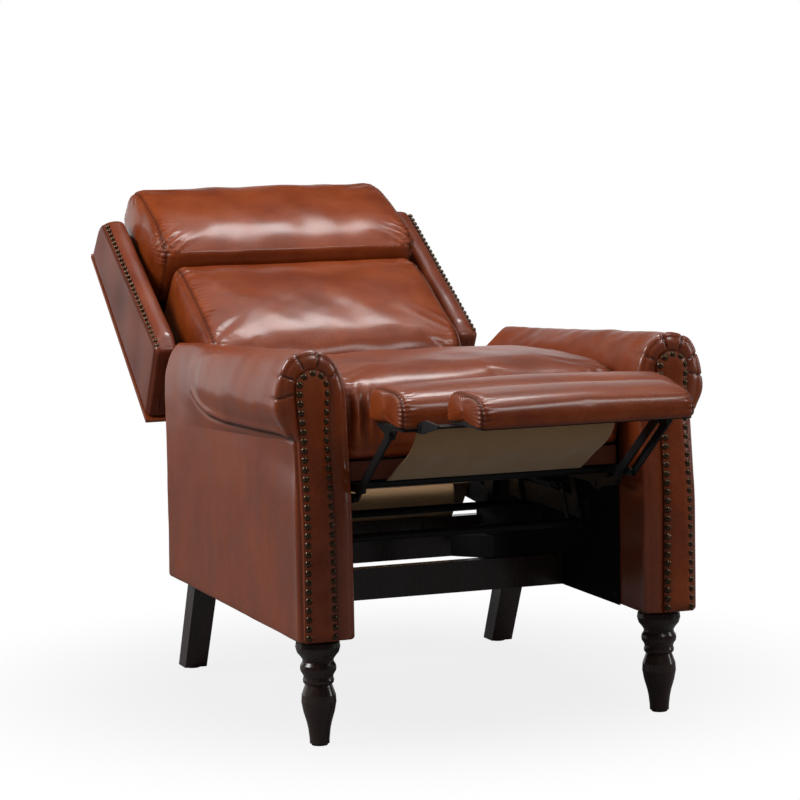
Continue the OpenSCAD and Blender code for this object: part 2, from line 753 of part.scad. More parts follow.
// Cushion outlines on the back, as shares of their depth forwards from the frame and of their
// height, from the foot up the front and down the rear
seat_of_back = frame_front - soft_gap;
lumbar_shares = [
    [0.07, -0.31], [0.4, -0.185], [0.541, -0.05], [0.835, 0.006], [1, 0.111], [0.988, 0.34],
    [0.894, 0.617], [0.771, 0.895], [0.618, 0.981], [0.359, 0.994], [0.047, 0.975], [0, 0.877],
    [0, 0.556], [0, 0.185], [0.006, -0.185]
];
head_shares = [
    [0.748, 0.018], [0.97, 0.118], [1, 0.338], [0.896, 0.61], [0.719, 0.853], [0.452, 0.985],
    [0.089, 0.985], [-0.044, 0.875], [0, 0.787], [0, 0.551], [0, 0.221], [0.059, 0.029], [0.452, 0.007]
];
function cushion_outline(shares, deep, low, high) = [
    for (s = shares) [s[0] == 0 ? seat_of_back : frame_front - s[0] * deep, low + s[1] * high]
];
lumbar_h = crease_z - lumbar_foot;
lumbar_points = cushion_outline(lumbar_shares, frame_front + lumbar_front, lumbar_foot, lumbar_h);
head_points = cushion_outline(head_shares, frame_front + head_front, crease_z, head_len);

module lumbar_cushion() {
    color(leather) set_down() on_back()
        cushion(smooth_loop(lumbar_points, 2), lumbar_half, 26, 4, 0, lumbar_foot - 0.312 * lumbar_h);
}

module head_cushion() {
    color(leather) set_down() on_back()
        cushion(smooth_loop(head_points, 2), head_half, 34, 4, 0, crease_z + 3 * soft_gap);
}

module wing(side) {
    color(leather) set_down() on_side(side) on_back() slab(upper_half, wing_t) polygon([
        [frame_rear, wing_z], [frame_rear, back_len], [back_rear - wing_top_d, back_len - 11],
        [back_rear - wing_bottom_d, wing_z + 24]
    ]);
}

// Canvas that closes the foot of the back
module back_dust_cloth() {
    sag = 14;
    t = 2;
    half = lower_half - post_t;
    color(canvas) set_down() on_back() slab(-half, 2 * half) polygon([
        [frame_front, back_foot], [back_rear, back_foot], [back_rear, back_foot - t],
        [back_rear * 0.75, back_foot - sag], [frame_front + 14, back_foot - sag], [frame_front - t, back_foot - t],
        [frame_front - t, back_foot + cloth_hem], [frame_front, back_foot + cloth_hem]
    ]);
}

module lower_link(side) {
    color(steel) set_down() on_side(side) {
        slab(x_lower, link_t) difference() {
            union() {
                bar(lower_pivot, knee, link_r);
                bar(knee, steady_start, link_tail_r);
            }
            stud_hole(lower_pivot);
        }
        stud_in(knee, x_lower, x_upper);
        stud_out(steady_start, x_lower + link_t, x_seat);
    }
}

// Tube on the axis of the lower links, which makes both sides of the footrest move as one
module drive_tube() {
    color(steel) set_down() difference() {
        rod(lower_pivot, -x_lower, x_lower, drive_tube_r);
        rod(lower_pivot, -x_lower - over, x_lower + over, head_r + layer_gap / 2);
    }
}

module upper_link(side) {
    color(steel) set_down() on_side(side) slab(x_upper, link_t) difference() {
        union() {
            bar(knee, pad_pivot, link_r);
            bar(control_end, knee, link_tail_r);
            translate(knee) circle(r = link_boss_r, $fn = 40);
        }
        stud_hole(knee);
        stud_hole(pad_pivot);
    }
}

module control_link(side) {
    color(steel) set_down() on_side(side) {
        slab(x_lower, link_t) difference() {
            bar(control_pivot, control_end, link_r);
            stud_hole(control_pivot);
        }
        rod(control_end, x_lower - layer_gap / 2, x_lower, head_r);
    }
}

module steady_link(side) {
    color(steel) set_down() on_side(side) {
        slab(x_seat, link_t) difference() {
            bar(steady_start, steady_end, link_r);
            stud_hole(steady_start);
        }
        rod(steady_end, x_seat - layer_gap / 2, x_seat, head_r);
        rod(steady_end, x_seat + link_t, x_seat + link_t + head_t, head_r);
    }
}

module footrest_board() {
    inset = 6;
    half = x_lower;
    color(black_wood) set_down() translate([-half, pad_front + inset, board_z])
        cube([2 * half, pad_d - 2 * inset, board_t]);
}

function pad_outline(rear, deep, low, thick) =
    smooth_loop([for (s = pad_outline_shares) [rear - s[0] * deep, low + s[1] * thick * 0.92]], 3);

module pad_form(rear, deep, low, thick, wide) {
    outline = pad_outline(rear, deep, low, thick);
    cushion([for (i = [len(outline) - 1:-1:0]) outline[i]], wide / 2, 14, 3, thick * 0.08, low + soft_gap);
}

module footrest_pad() { color(leather) set_down() pad_form(pad_rear, pad_d, pad_z, pad_t, pad_w); }

module flipper_pad() { color(leather) set_down() pad_form(flip_rear, flip_d, flip_z, flip_t, flip_w); }

// Steel angle under the footrest board: links pivot on it, and the front pad hinges on its ear
module pad_bracket(side) {
    lip = 3;
    foot_d1 = 85;
    foot_d2 = 15;
    foot_w = 18;
    color(steel) set_down() on_side(side) {
        slab(x_lower, link_t) union() {
            bar(pad_pivot, steady_end, link_r);
            polygon([
                [pad_pivot[0] + link_r, pad_pivot[1]], [pad_pivot[0] + 40, board_z - lip],
                [pad_pivot[0] + 40, board_z], [pad_pivot[0] + 40 - foot_d1, board_z],
                [steady_end[0] - link_r, steady_end[1]], pad_pivot
            ]);
        }
        translate([x_lower + link_t - foot_w, pad_front + 6, board_z - lip])
            cube([foot_w, pad_pivot[0] + 40 - pad_front - 6, lip]);
        stud_in(pad_pivot, x_lower, x_upper);
        slab(x_ear, link_t) {
            translate(flip_hinge) circle(r = ear_r, $fn = 48);
            polygon([
                [flip_hinge[0], flip_hinge[1] - ear_r], [pad_front + 6 + foot_d2, board_z - 2 * lip],
                [pad_front + 6 + foot_d2, board_z], [pad_front + 6, board_z],
                [flip_hinge[0] + ear_r, board_z]
            ]);
        }
        translate([x_ear - foot_w, pad_front + 6, board_z - lip])
            cube([x_lower + link_t - x_ear + foot_w, foot_d2, lip]);
        stud_out(flip_hinge, x_ear + link_t, x_flip);
    }
}

module flipper_board() {
    inset = 6;
    color(black_wood) set_down() translate([inset - flip_w / 2, flip_front + inset, flip_board_z])
        cube([flip_w - 2 * inset, flip_d - 2 * inset, board_t]);
}

module flipper_bracket(side) {
    lip = 3;
    tab_y = flip_hinge[0] - 73;
    tab_d = 30;
    color(steel) set_down() on_side(side) {
        slab(x_flip, link_t) difference() {
            union() {
                translate(flip_hinge) circle(r = ear_r, $fn = 48);
                polygon([
                    [flip_hinge[0], flip_hinge[1] - ear_r], [flip_hinge[0], flip_hinge[1] + ear_r],
                    [flip_hinge[0] - 25, flip_board_z + 5], [tab_y, flip_board_z + 2],
                    [tab_y, flip_board_z - lip]
                ]);
            }
            stud_hole(flip_hinge);
        }
        translate([flip_w / 2 - 30, tab_y, flip_board_z - lip])
            cube([x_flip - flip_w / 2 + 30 + link_t / 2, tab_d, lip]);
    }
}

arm_frame(-1);  // arm_frame_left
arm_frame(1);  // arm_frame_right
arm_cover(-1);  // arm_cover_left
arm_cover(1);  // arm_cover_right
arm_lining(-1);  // arm_lining_left
arm_lining(1);  // arm_lining_right
front_panel(-1);  // front_panel_left
front_panel(1);  // front_panel_right
front_leg(-1);  // front_leg_left
front_leg(1);  // front_leg_right
rear_leg(-1);  // rear_leg_left
rear_leg(1);  // rear_leg_right
leg_glides();
mid_rail();
rear_rail();
corner_blocks();
base_plate(-1);  // base_plate_left
base_plate(1);  // base_plate_right
front_swing_link(-1);  // front_swing_link_left
front_swing_link(1);  // front_swing_link_right
front_swing_tube();
rear_swing_link(-1);  // rear_swing_link_left
rear_swing_link(1);  // rear_swing_link_right
rear_swing_tube();
seat_plate(-1);  // seat_plate_left
seat_plate(1);  // seat_plate_right
seat_frame();
seat_springs();
seat_cushion();
gap_cloth();
tension_spring(-1);  // tension_spring_left
tension_spring(1);  // tension_spring_right
back_frame();
back_panel();
back_bracket(-1);  // back_bracket_left
back_bracket(1);  // back_bracket_right
lumbar_cushion();
head_cushion();
wing(-1);  // wing_left
wing(1);  // wing_right
back_dust_cloth();
lower_link(-1);  // lower_link_left
lower_link(1);  // lower_link_right
drive_tube();
upper_link(-1);  // upper_link_left
upper_link(1);  // upper_link_right
control_link(-1);  // control_link_left
control_link(1);  // control_link_right
steady_link(-1);  // steady_link_left
steady_link(1);  // steady_link_right
footrest_board();
footrest_pad();
pad_bracket(-1);  // pad_bracket_left
pad_bracket(1);  // pad_bracket_right
flipper_board();
flipper_pad();
flipper_bracket(-1);  // flipper_bracket_left
flipper_bracket(1);  // flipper_bracket_right
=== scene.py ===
"""Wingback recliner: upholstery, finishes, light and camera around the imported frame.

Shapes are worked out in millimetres in the layout of the chair, where x runs across, y runs back from the
front legs and z up from the floor. to_frame() moves them into the frame, in metres.
"""
import math

import bpy
import numpy as np
from mathutils import Matrix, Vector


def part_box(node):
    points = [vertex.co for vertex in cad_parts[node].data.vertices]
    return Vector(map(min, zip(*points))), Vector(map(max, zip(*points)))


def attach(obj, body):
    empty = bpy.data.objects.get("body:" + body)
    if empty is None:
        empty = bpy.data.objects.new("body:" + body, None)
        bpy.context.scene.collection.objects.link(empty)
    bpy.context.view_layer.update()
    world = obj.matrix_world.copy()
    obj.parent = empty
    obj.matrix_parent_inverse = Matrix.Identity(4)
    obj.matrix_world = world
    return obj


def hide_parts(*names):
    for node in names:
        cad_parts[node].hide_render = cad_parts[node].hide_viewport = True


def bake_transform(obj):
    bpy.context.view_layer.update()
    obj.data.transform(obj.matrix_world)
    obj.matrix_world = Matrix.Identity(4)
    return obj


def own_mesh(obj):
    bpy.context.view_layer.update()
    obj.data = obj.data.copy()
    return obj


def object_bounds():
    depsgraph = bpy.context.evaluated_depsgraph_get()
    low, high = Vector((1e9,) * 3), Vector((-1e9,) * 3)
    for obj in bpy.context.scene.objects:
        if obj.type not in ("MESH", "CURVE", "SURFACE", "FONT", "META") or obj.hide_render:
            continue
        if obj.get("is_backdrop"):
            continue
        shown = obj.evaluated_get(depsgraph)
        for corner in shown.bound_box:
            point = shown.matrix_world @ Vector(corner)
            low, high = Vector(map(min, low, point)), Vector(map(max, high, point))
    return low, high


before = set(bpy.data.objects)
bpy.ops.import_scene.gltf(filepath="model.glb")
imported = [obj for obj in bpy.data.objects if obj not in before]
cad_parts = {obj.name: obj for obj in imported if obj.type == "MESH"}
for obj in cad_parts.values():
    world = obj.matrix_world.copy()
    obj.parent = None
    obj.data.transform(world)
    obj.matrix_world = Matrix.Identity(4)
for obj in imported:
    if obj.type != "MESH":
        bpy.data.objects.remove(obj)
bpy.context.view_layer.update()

# Sizes of the chair in millimetres, its middle found from where the CAD's front leg stands
leg_low, leg_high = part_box("front_leg_left")
MIDDLE_Y = -500 * (leg_low.y + leg_high.y)
HINGE = np.array([0, 575, 285.0])
LEAN = math.radians(51.6)
ARM_IN, ARM_W, ARM_H, ARM_FALL, ARM_FRONT, ARM_D = 248.0, 94.0, 625.0, 40.0, 41.0, 708.0
ROLL_H, ROLL_OUT, LEG_H = 139.0, 19.0, 172.0
ROLL_X, ROLL_Z = ARM_IN + 0.62 * ARM_W, ARM_H - 0.41 * ROLL_H
SEAT_FRONT, DECK_Z = 22.0, 440.0
FRAME_FRONT, BACK_REAR, BACK_LEN = 30.0, 92.4, 790.0
SIDES = (("left", -1), ("right", 1))


# Lines and grids

def to_frame(p):
    """Layout millimetres to metres in the frame."""
    return (np.asarray(p, float) - (0, MIDDLE_Y, 0)) * 0.001


def lean_back(p):
    """Points of the upright back, turned about the hinge: y' = y cos a + z sin a, z' = z cos a - y sin a."""
    p = np.asarray(p, float)
    c, s = math.cos(LEAN), math.sin(LEAN)
    return np.stack([p[..., 0], p[..., 1] * c + p[..., 2] * s, p[..., 2] * c - p[..., 1] * s], -1) + HINGE


def unit(v):
    """Vectors of length 1."""
    return v / np.maximum(np.linalg.norm(v, axis=-1, keepdims=True), 1e-9)


def ease(t):
    """Smooth step 3t^2 - 2t^3 on t held between 0 and 1."""
    t = np.clip(t, 0, 1)
    return t * t * (3 - 2 * t)


def bell(d, width):
    """Bell curve exp(-(d/width)^2)."""
    return np.exp(-(d / width) ** 2)


def through(points, steps, closed):
    """Catmull-Rom line through given points, steps samples to a span."""
    p = np.asarray(points, float)
    if closed:
        a, b, c, d = (np.roll(p, k, 0) for k in (1, 0, -1, -2))
    else:
        q = np.concatenate([2 * p[:1] - p[1:2], p, 2 * p[-1:] - p[-2:-1]])
        a, b, c, d = q[:-3], q[1:-2], q[2:-1], q[3:]
    t = (np.arange(steps) / steps)[None, :, None]
    a, b, c, d = (v[:, None, :] for v in (a, b, c, d))
    line = 0.5 * (2 * b + (c - a) * t + (2 * a - 5 * b + 4 * c - d) * t**2 + (3 * b - a - 3 * c + d) * t**3)
    line = line.reshape(-1, p.shape[1])
    return line if closed else np.concatenate([line, p[-1:]])


def run_of(line):
    """Distance run along an open line up to each of its points."""
    return np.concatenate([[0], np.cumsum(np.linalg.norm(np.diff(line, axis=0), axis=1))])


def even(points, n, closed):
    """The same line with n points at even distances along it."""
    p = np.concatenate([points, points[:1]]) if closed else np.asarray(points, float)
    s = run_of(p)
    at = np.linspace(0, s[-1], n + 1)[:-1] if closed else np.linspace(0, s[-1], n)
    return np.stack([np.interp(at, s, p[:, k]) for k in range(p.shape[1])], -1)


def every(line, pitch):
    """Points about a pitch apart along an open line."""
    return even(line, int(round(run_of(line)[-1] / pitch)) + 1, False)


def straight(at, a, b):
    """Second coordinate, at a first one, of the straight line through points a and b."""
    return a[1] + (at - a[0]) * ((b[1] - a[1]) / (b[0] - a[0]))


def quads(rows, columns, closed):
    """Faces of a grid of points, row after row; closed joins the last column to the first."""
    r, c = np.meshgrid(np.arange(rows - 1), np.arange(columns if closed else columns - 1), indexing="ij")
    a, b = r * columns + c, r * columns + (c + 1) % columns
    return np.stack([a, b, b + columns, a + columns], -1).reshape(-1, 4)


def fans(rows, columns):
    """Triangles that close both ends of a tube grid onto the two poles kept after its points."""
    c = np.arange(columns)
    d = (c + 1) % columns
    end = (rows - 1) * columns
    first = np.stack([d, c, np.full(columns, rows * columns)], -1)
    last = np.stack([end + c, end + d, np.full(columns, rows * columns + 1)], -1)
    return np.concatenate([first, last])


def closed_skin(grid):
    """Points and faces of a grid that closes round, with a pole at the middle of either end."""
    rows, columns = grid.shape[:2]
    points = np.concatenate([grid.reshape(-1, 3), grid[0].mean(0)[None], grid[-1].mean(0)[None]])
    return points, [quads(rows, columns, True), fans(rows, columns)]


def with_poles(values):
    """Values for the points of a closed skin: those of its grid, then the mean of either end row."""
    return np.concatenate([values.ravel(), [values[0].mean(), values[-1].mean()]])


def normals_of(grid, closed=True):
    """Outward unit normals of a grid: the cross product of its differences along rows and columns."""
    along = np.gradient(grid, axis=0)
    around = (np.roll(grid, -1, 1) - np.roll(grid, 1, 1)) / 2 if closed else np.gradient(grid, axis=1)
    n = unit(np.cross(along, around))
    out = grid - grid.reshape(-1, 3).mean(0)
    return n if (n * out).sum() > 0 else -n


def ripple(p, size, seed, waves=7):
    """Smooth uneven field between about -1 and 1: a sum of sine waves in seeded directions, size mm long."""
    rng = np.random.default_rng(seed)
    k = unit(rng.normal(size=(waves, 3))) * (2 * math.pi / (size * rng.uniform(0.7, 1.5, (waves, 1))))
    return np.sin(p @ k.T + rng.uniform(0, 6.28, waves)).sum(-1) / math.sqrt(waves * 1.2)


# Meshes

def build(name, points, faces, finish, body, slot=None, marks=None, uv=None):
    """One piece from points in layout millimetres, with marks kept as point attributes, riding on a body."""
    faces = [np.asarray(f) for f in faces if len(f)]
    p = to_frame(points)
    volume = 0.0
    for f in faces:
        for k in range(1, f.shape[1] - 1):
            volume += (p[f[:, 0]] * np.cross(p[f[:, k]], p[f[:, k + 1]])).sum()
    if volume < 0:
        faces = [f[:, ::-1] for f in faces]
    mesh = bpy.data.meshes.new(name)
    mesh.vertices.add(len(p))
    mesh.vertices.foreach_set("co", p.astype(np.float32).ravel())
    corners = np.concatenate([f.ravel() for f in faces])
    sizes = np.concatenate([np.full(len(f), f.shape[1]) for f in faces])
    mesh.loops.add(len(corners))
    mesh.loops.foreach_set("vertex_index", corners.astype(np.int32))
    mesh.polygons.add(len(sizes))
    mesh.polygons.foreach_set("loop_start", np.concatenate([[0], np.cumsum(sizes)[:-1]]).astype(np.int32))
    mesh.update(calc_edges=True)
    mesh.polygons.foreach_set("use_smooth", np.ones(len(sizes), bool))
    for key, values in (marks or {}).items():
        mark = mesh.attributes.new(key, "FLOAT", "POINT")
        mark.data.foreach_set("value", np.asarray(values, np.float32).ravel())
    if uv is not None:
        layer = mesh.uv_layers.new(name="UVMap")
        layer.data.foreach_set("uv", np.asarray(uv, np.float32)[corners].ravel())
    mesh.validate()
    obj = bpy.data.objects.new(name, mesh)
    bpy.context.scene.collection.objects.link(obj)
    mesh.materials.append(finish)
    if body:
        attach(obj, body)
    return obj


def build_tube(name, grid, finish, body, slot=None, marks=None, replaces=()):
    """One piece from a grid that closes round, closed at both ends. It replaces the named CAD nodes."""
    marks = {key: with_poles(values) for key, values in (marks or {}).items()}
    obj = build(name, *closed_skin(grid), finish, body, slot, marks)
    if replaces:
        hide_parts(*replaces)
    return obj


def build_sheet(name, grid, finish, body, flat):
    """Thin cloth: a grid moved half a thickness either way along its normals, joined at the rim."""
    rows, columns = grid.shape[:2]
    n = normals_of(grid, closed=False)
    half = n * CLOTH_THICK / 2
    points = np.concatenate([(grid + half).reshape(-1, 3), (grid - half).reshape(-1, 3)])
    top = quads(rows, columns, False)
    under = top[:, ::-1] + rows * columns
    rim = np.concatenate([
        np.arange(columns), np.arange(1, rows) * columns + columns - 1,
        (rows - 1) * columns + np.arange(columns - 2, -1, -1), np.arange(rows - 2, 0, -1) * columns])
    after = np.roll(rim, -1)
    side = np.stack([after, rim, rim + rows * columns, after + rows * columns], -1)
    uv = np.tile(flat.reshape(-1, 2), (2, 1))
    return build(name, points, [top, under, side], finish, body, "canvas", uv=uv)


def many(name, shape, faces, places, axes, finish, body, slot=None):
    """One mesh of a small shape repeated: each copy is place + shape in its own three axes."""
    points = places[:, None, :] + np.einsum("sk,nkj->nsj", shape, axes)
    first = (np.arange(len(places)) * len(shape))[:, None, None]
    copies = [(f[None] + first).reshape(-1, f.shape[1]) for f in faces]
    return build(name, points.reshape(-1, 3), copies, finish, body, slot)


def lathe(profile, sides):
    """Points and faces of a turned shape: radii and heights carried round the third axis."""
    profile = np.asarray(profile, float)
    a = np.arange(sides) * 2 * math.pi / sides
    radius, height = profile[:, :1], np.repeat(profile[:, 1:], sides, 1)
    return closed_skin(np.stack([radius * np.cos(a), radius * np.sin(a), height], -1))


# Finishes

# Distance between the canvas's threads, in metres
THREAD_PITCH = 0.0011


class Value:
    """A number that a node gives out; arithmetic on it adds Math nodes."""

    def __init__(self, finish, socket):
        self.finish, self.socket = finish, socket

    def _math(self, kind, a, b):
        return self.finish.node("ShaderNodeMath", {"operation": kind}, {0: a, 1: b})[0]

    def __add__(self, other):
        return self._math("ADD", self, other)

    def __sub__(self, other):
        return self._math("SUBTRACT", self, other)

    def __rsub__(self, other):
        return self._math("SUBTRACT", other, self)

    def __mul__(self, other):
        return self._math("MULTIPLY", self, other)

    def __pow__(self, other):
        return self._math("POWER", self, other)

    __radd__, __rmul__ = __add__, __mul__


class Finish:
    """A material: its Principled shader, and one method that adds any other node."""

    def __init__(self, name, **fixed):
        self.material = bpy.data.materials.new(name)
        self.material.use_nodes = True
        self.tree = self.material.node_tree
        self.shader = self.tree.nodes["Principled BSDF"]
        for key, value in fixed.items():
            self.shader.inputs[key.replace("_", " ").title().replace("Ior", "IOR")].default_value = value

    def node(self, kind, settings=None, sockets=None):
        """Adds a node, sets its settings, then gives its sockets values or links; returns its outputs."""
        made = self.tree.nodes.new(kind)
        for key, value in (settings or {}).items():
            if key == "stops":
                ramp = made.color_ramp
                while len(ramp.elements) < len(value):
                    ramp.elements.new(0.5)
                for element, (place, colour) in zip(ramp.elements, value):
                    element.position, element.color = place, (*colour, 1)
            else:
                setattr(made, key, value)
        for key, value in (sockets or {}).items():
            self.put(made.inputs[key], value)
        return [Value(self, s) for s in made.outputs]

    def put(self, socket, value):
        """Links a value to a socket, or sets the socket to a colour or a number."""
        if isinstance(value, Value):
            self.tree.links.new(value.socket, socket)
        elif socket.type == "RGBA":
            socket.default_value = (*value[:3], 1)
        else:
            socket.default_value = value

    def give(self, **sockets):
        """Links varying values to the shader."""
        for key, value in sockets.items():
            self.put(self.shader.inputs[key.replace("_", " ").title()], value)

    def place(self):
        """Object coordinates."""
        return self.node("ShaderNodeTexCoord")[3]

    def noise(self, scale, detail=3.0, rough=0.5, stretch=None, distort=0.0):
        """Cloudy noise from 0 to 1 on object coordinates, scale to a metre."""
        at = self.place()
        if stretch:
            at = self.node("ShaderNodeMapping", None, {0: at, 3: stretch})[0]
        return self.node("ShaderNodeTexNoise", None, {
            "Vector": at, "Scale": scale, "Detail": detail, "Roughness": rough, "Distortion": distort})[0]

    def cells(self, scale):
        """Distance to the edge of the cell around the nearest seed."""
        return self.node("ShaderNodeTexVoronoi", {"feature": "DISTANCE_TO_EDGE"},
                         {"Vector": self.place(), "Scale": scale})[0]

    def sine(self, value):
        """Sine of a value."""
        return self.node("ShaderNodeMath", {"operation": "SINE"}, {0: value})[0]

    def mark(self, name):
        """A point attribute of the piece."""
        return self.node("ShaderNodeAttribute", {"attribute_name": name})[2]

    def ramp(self, factor, stops):
        """Colour read from a row of (place, colour) stops."""
        return self.node("ShaderNodeValToRGB", {"stops": stops}, {0: factor})[0]

    def step(self, value, low, high, to_low=0.0, to_high=1.0):
        """Smooth change from one value to another between two limits."""
        return self.node("ShaderNodeMapRange", {"interpolation_type": "SMOOTHSTEP"},
                         {0: value, 1: low, 2: high, 3: to_low, 4: to_high})[0]

    def mix(self, factor, a, b):
        """Mixes two colours."""
        return self.node("ShaderNodeMix", {"data_type": "RGBA"}, {0: factor, 6: a, 7: b})[2]

    def bump(self, height, distance, strength=1.0, over=None):
        """A bump of a height field, distance metres high."""
        sockets = {"Height": height, "Distance": distance, "Strength": strength}
        if over is not None:
            sockets["Normal"] = over
        return self.node("ShaderNodeBump", None, sockets)[0]


def make_leather(name, dark, mid, light, gloss, coat, drawn):
    """Waxed leather: even brown with soft light and dark patches, drawn out along z by 1 / drawn, a fine grain and
    slight waves. In its marked creases and seams the colour is darkened as a painted shade and the leather is duller
    there; it is glossier where it is marked with shine."""
    f = Finish(name, coat_roughness=0.23, specular_ior_level=0.12, coat_ior=1.5)
    cloud = f.noise(6.0, 2.0, 0.5, distort=0.4)
    streak = f.noise(24.0, 4.0, 0.6, stretch=(1.0, 1.0, drawn))
    fold, shine = f.mark("fold"), f.mark("shine")
    fine = f.noise(210.0, 3.0, 0.65)
    tone = f.step(cloud * 0.38 + streak * 0.32 + fine * 0.3, 0.28, 0.72)
    colour = f.ramp(tone, [(0.0, dark), (0.5, mid), (1.0, light)])
    # deep, a quarter of the dark brown, is the painted shade put into the marked creases and seams on the next line,
    # and it also darkens the edges of the grain below
    deep = tuple(c * 0.25 for c in dark)
    colour = f.mix(f.step(fold, 0.0, 1.0, 0.0, 0.8), colour, deep)
    grain = f.cells(1150.0)
    pores = f.noise(900.0, 2.0, 0.6)
    colour = f.mix(f.step(grain, 0.0, 0.12, 0.14, 0.0), colour, deep)
    height = f.step(grain, 0.0, 0.2) * 0.6 + pores * 0.4
    wave = f.noise(38.0, 2.0, 0.5)
    dull = f.step(streak, 0.3, 0.7, gloss, gloss + 0.1)
    wax = f.step(cloud, 0.3, 0.7, coat, coat * 0.8)
    f.give(base_color=colour, roughness=dull + fold * 0.2 - shine * 0.12,
           coat_weight=(wax + shine * 0.5) * (1 - fold * 0.6),
           normal=f.bump(height, 0.00018, 0.55, f.bump(wave, 0.0010, 0.16)))
    return f.material


def make_wood(name, dark, light, ring, gloss, coat):
    """Stained or raw timber: grain drawn out along z, with pores and a lacquer."""
    f = Finish(name, coat_roughness=0.12, specular_ior_level=0.3)
    grain = f.noise(ring, 5.0, 0.62, stretch=(1.0, 1.0, 0.07), distort=0.8)
    fine = f.noise(ring * 9, 3.0, 0.6, stretch=(1.0, 1.0, 0.05))
    f.give(base_color=f.ramp(grain * 0.7 + fine * 0.3, [(0.3, dark), (0.7, light)]),
           roughness=f.step(fine, 0.3, 0.7, gloss, gloss + 0.16),
           coat_weight=f.step(grain, 0.2, 0.8, coat, coat * 0.7),
           normal=f.bump(fine * 0.6 + grain * 0.4, 0.0003, 0.35))
    return f.material


def make_metal(name, colour, scratch, rough, metallic, grit=900.0):
    """Painted or bare metal: a speckled skin with rubbed places."""
    f = Finish(name, coat_roughness=0.2, specular_ior_level=0.3)
    speck = f.noise(grit, 3.0, 0.6)
    rub = f.noise(34.0, 4.0, 0.6)
    worn = f.step(rub, 0.6, 0.75)
    f.give(base_color=f.mix(worn * 0.5, colour, scratch),
           metallic=f.step(rub, 0.55, 0.8, metallic, min(1.0, metallic + 0.3)),
           roughness=f.step(speck * 0.5 + rub * 0.5, 0.3, 0.7, rough, rough + 0.18),
           normal=f.bump(speck, 0.00008, 0.4))
    return f.material


def make_canvas(name, dark, light):
    """Plain weave on the sheet's own cut: two families of threads, one over the other."""
    f = Finish(name, sheen_weight=0.2, specular_ior_level=0.2)
    uv = f.node("ShaderNodeUVMap", {"uv_map": "UVMap"})[0]
    u, v, _ = f.node("ShaderNodeSeparateXYZ", None, {0: uv})
    weave = f.sine(u * (math.pi / THREAD_PITCH)) * f.sine(v * (math.pi / THREAD_PITCH)) * 0.5 + 0.5
    slub = f.noise(60.0, 4.0, 0.65, stretch=(1.0, 6.0, 6.0))
    stain = f.noise(9.0, 3.0, 0.5)
    tone = weave * 0.25 + slub * 0.45 + stain * 0.3
    f.give(base_color=f.ramp(tone, [(0.3, dark), (0.7, light)]),
           roughness=f.step(slub, 0.3, 0.7, 0.82, 0.95),
           normal=f.bump(weave, 0.0003, 0.5, f.bump(slub, 0.0006, 0.3)))
    return f.material


def make_board(name, colour, fleck):
    """Covered board, moulded plastic or thread: short fibres over a dull ground."""
    f = Finish(name, specular_ior_level=0.1)
    fibre = f.noise(420.0, 4.0, 0.7, stretch=(1.0, 0.35, 1.0))
    patch = f.noise(16.0, 3.0, 0.5)
    f.give(base_color=f.mix(f.step(fibre * 0.7 + patch * 0.3, 0.45, 0.7), colour, fleck),
           roughness=f.step(patch, 0.3, 0.7, 0.75, 0.92), normal=f.bump(fibre, 0.0003, 0.4))
    return f.material


leather = make_leather("chestnut_leather", (0.105, 0.0150, 0.0020), (0.165, 0.0275, 0.0038),
                       (0.215, 0.0420, 0.0070), gloss=0.36, coat=0.55, drawn=1.0)
leather_side = make_leather("arm_leather", (0.108, 0.0175, 0.0035), (0.160, 0.0285, 0.0060),
                            (0.200, 0.0400, 0.0090), gloss=0.42, coat=0.45, drawn=0.3)
wing_leather = make_leather("wing_leather", (0.100, 0.0170, 0.0058), (0.140, 0.0260, 0.0088),
                            (0.170, 0.0360, 0.0120), gloss=0.5, coat=0.34, drawn=1.0)
# painted shade: the rail's leather is the chestnut leather at about a third of its brightness, for the shade under
# the seat
shaded_rail_leather = make_leather("shaded_rail_leather", (0.040, 0.0080, 0.0030), (0.058, 0.0115, 0.0045),
                            (0.075, 0.0160, 0.0065), gloss=0.6, coat=0.12, drawn=0.3)
dark_wood = make_wood("espresso_wood", (0.0095, 0.0046, 0.0038), (0.028, 0.0125, 0.0095),
                      ring=22.0, gloss=0.24, coat=0.6)
frame_wood = make_wood("frame_timber", (0.085, 0.045, 0.022), (0.17, 0.10, 0.052), ring=18.0, gloss=0.6, coat=0.0)
black_wood = make_wood("black_timber", (0.006, 0.0055, 0.005), (0.014, 0.013, 0.012), ring=18.0, gloss=0.7, coat=0.0)
black_steel = make_metal("black_enamel", (0.007, 0.007, 0.0075), (0.03, 0.03, 0.033), rough=0.36, metallic=0.1)
spring_steel = make_metal("spring_wire", (0.10, 0.10, 0.105), (0.24, 0.24, 0.25), rough=0.26, metallic=0.8)
nail_brass = make_metal("aged_brass", (0.080, 0.048, 0.027), (0.30, 0.215, 0.14),
                        rough=0.2, metallic=0.85, grit=500.0)
canvas = make_canvas("tan_canvas", (0.300, 0.170, 0.076), (0.430, 0.260, 0.128))
lining = make_board("black_lining", (0.0035, 0.0035, 0.0038), (0.010, 0.010, 0.0105))
glide = make_board("glide_plastic", (0.008, 0.008, 0.008), (0.02, 0.02, 0.02))
thread = make_board("brown_thread", (0.085, 0.028, 0.011), (0.16, 0.060, 0.026))

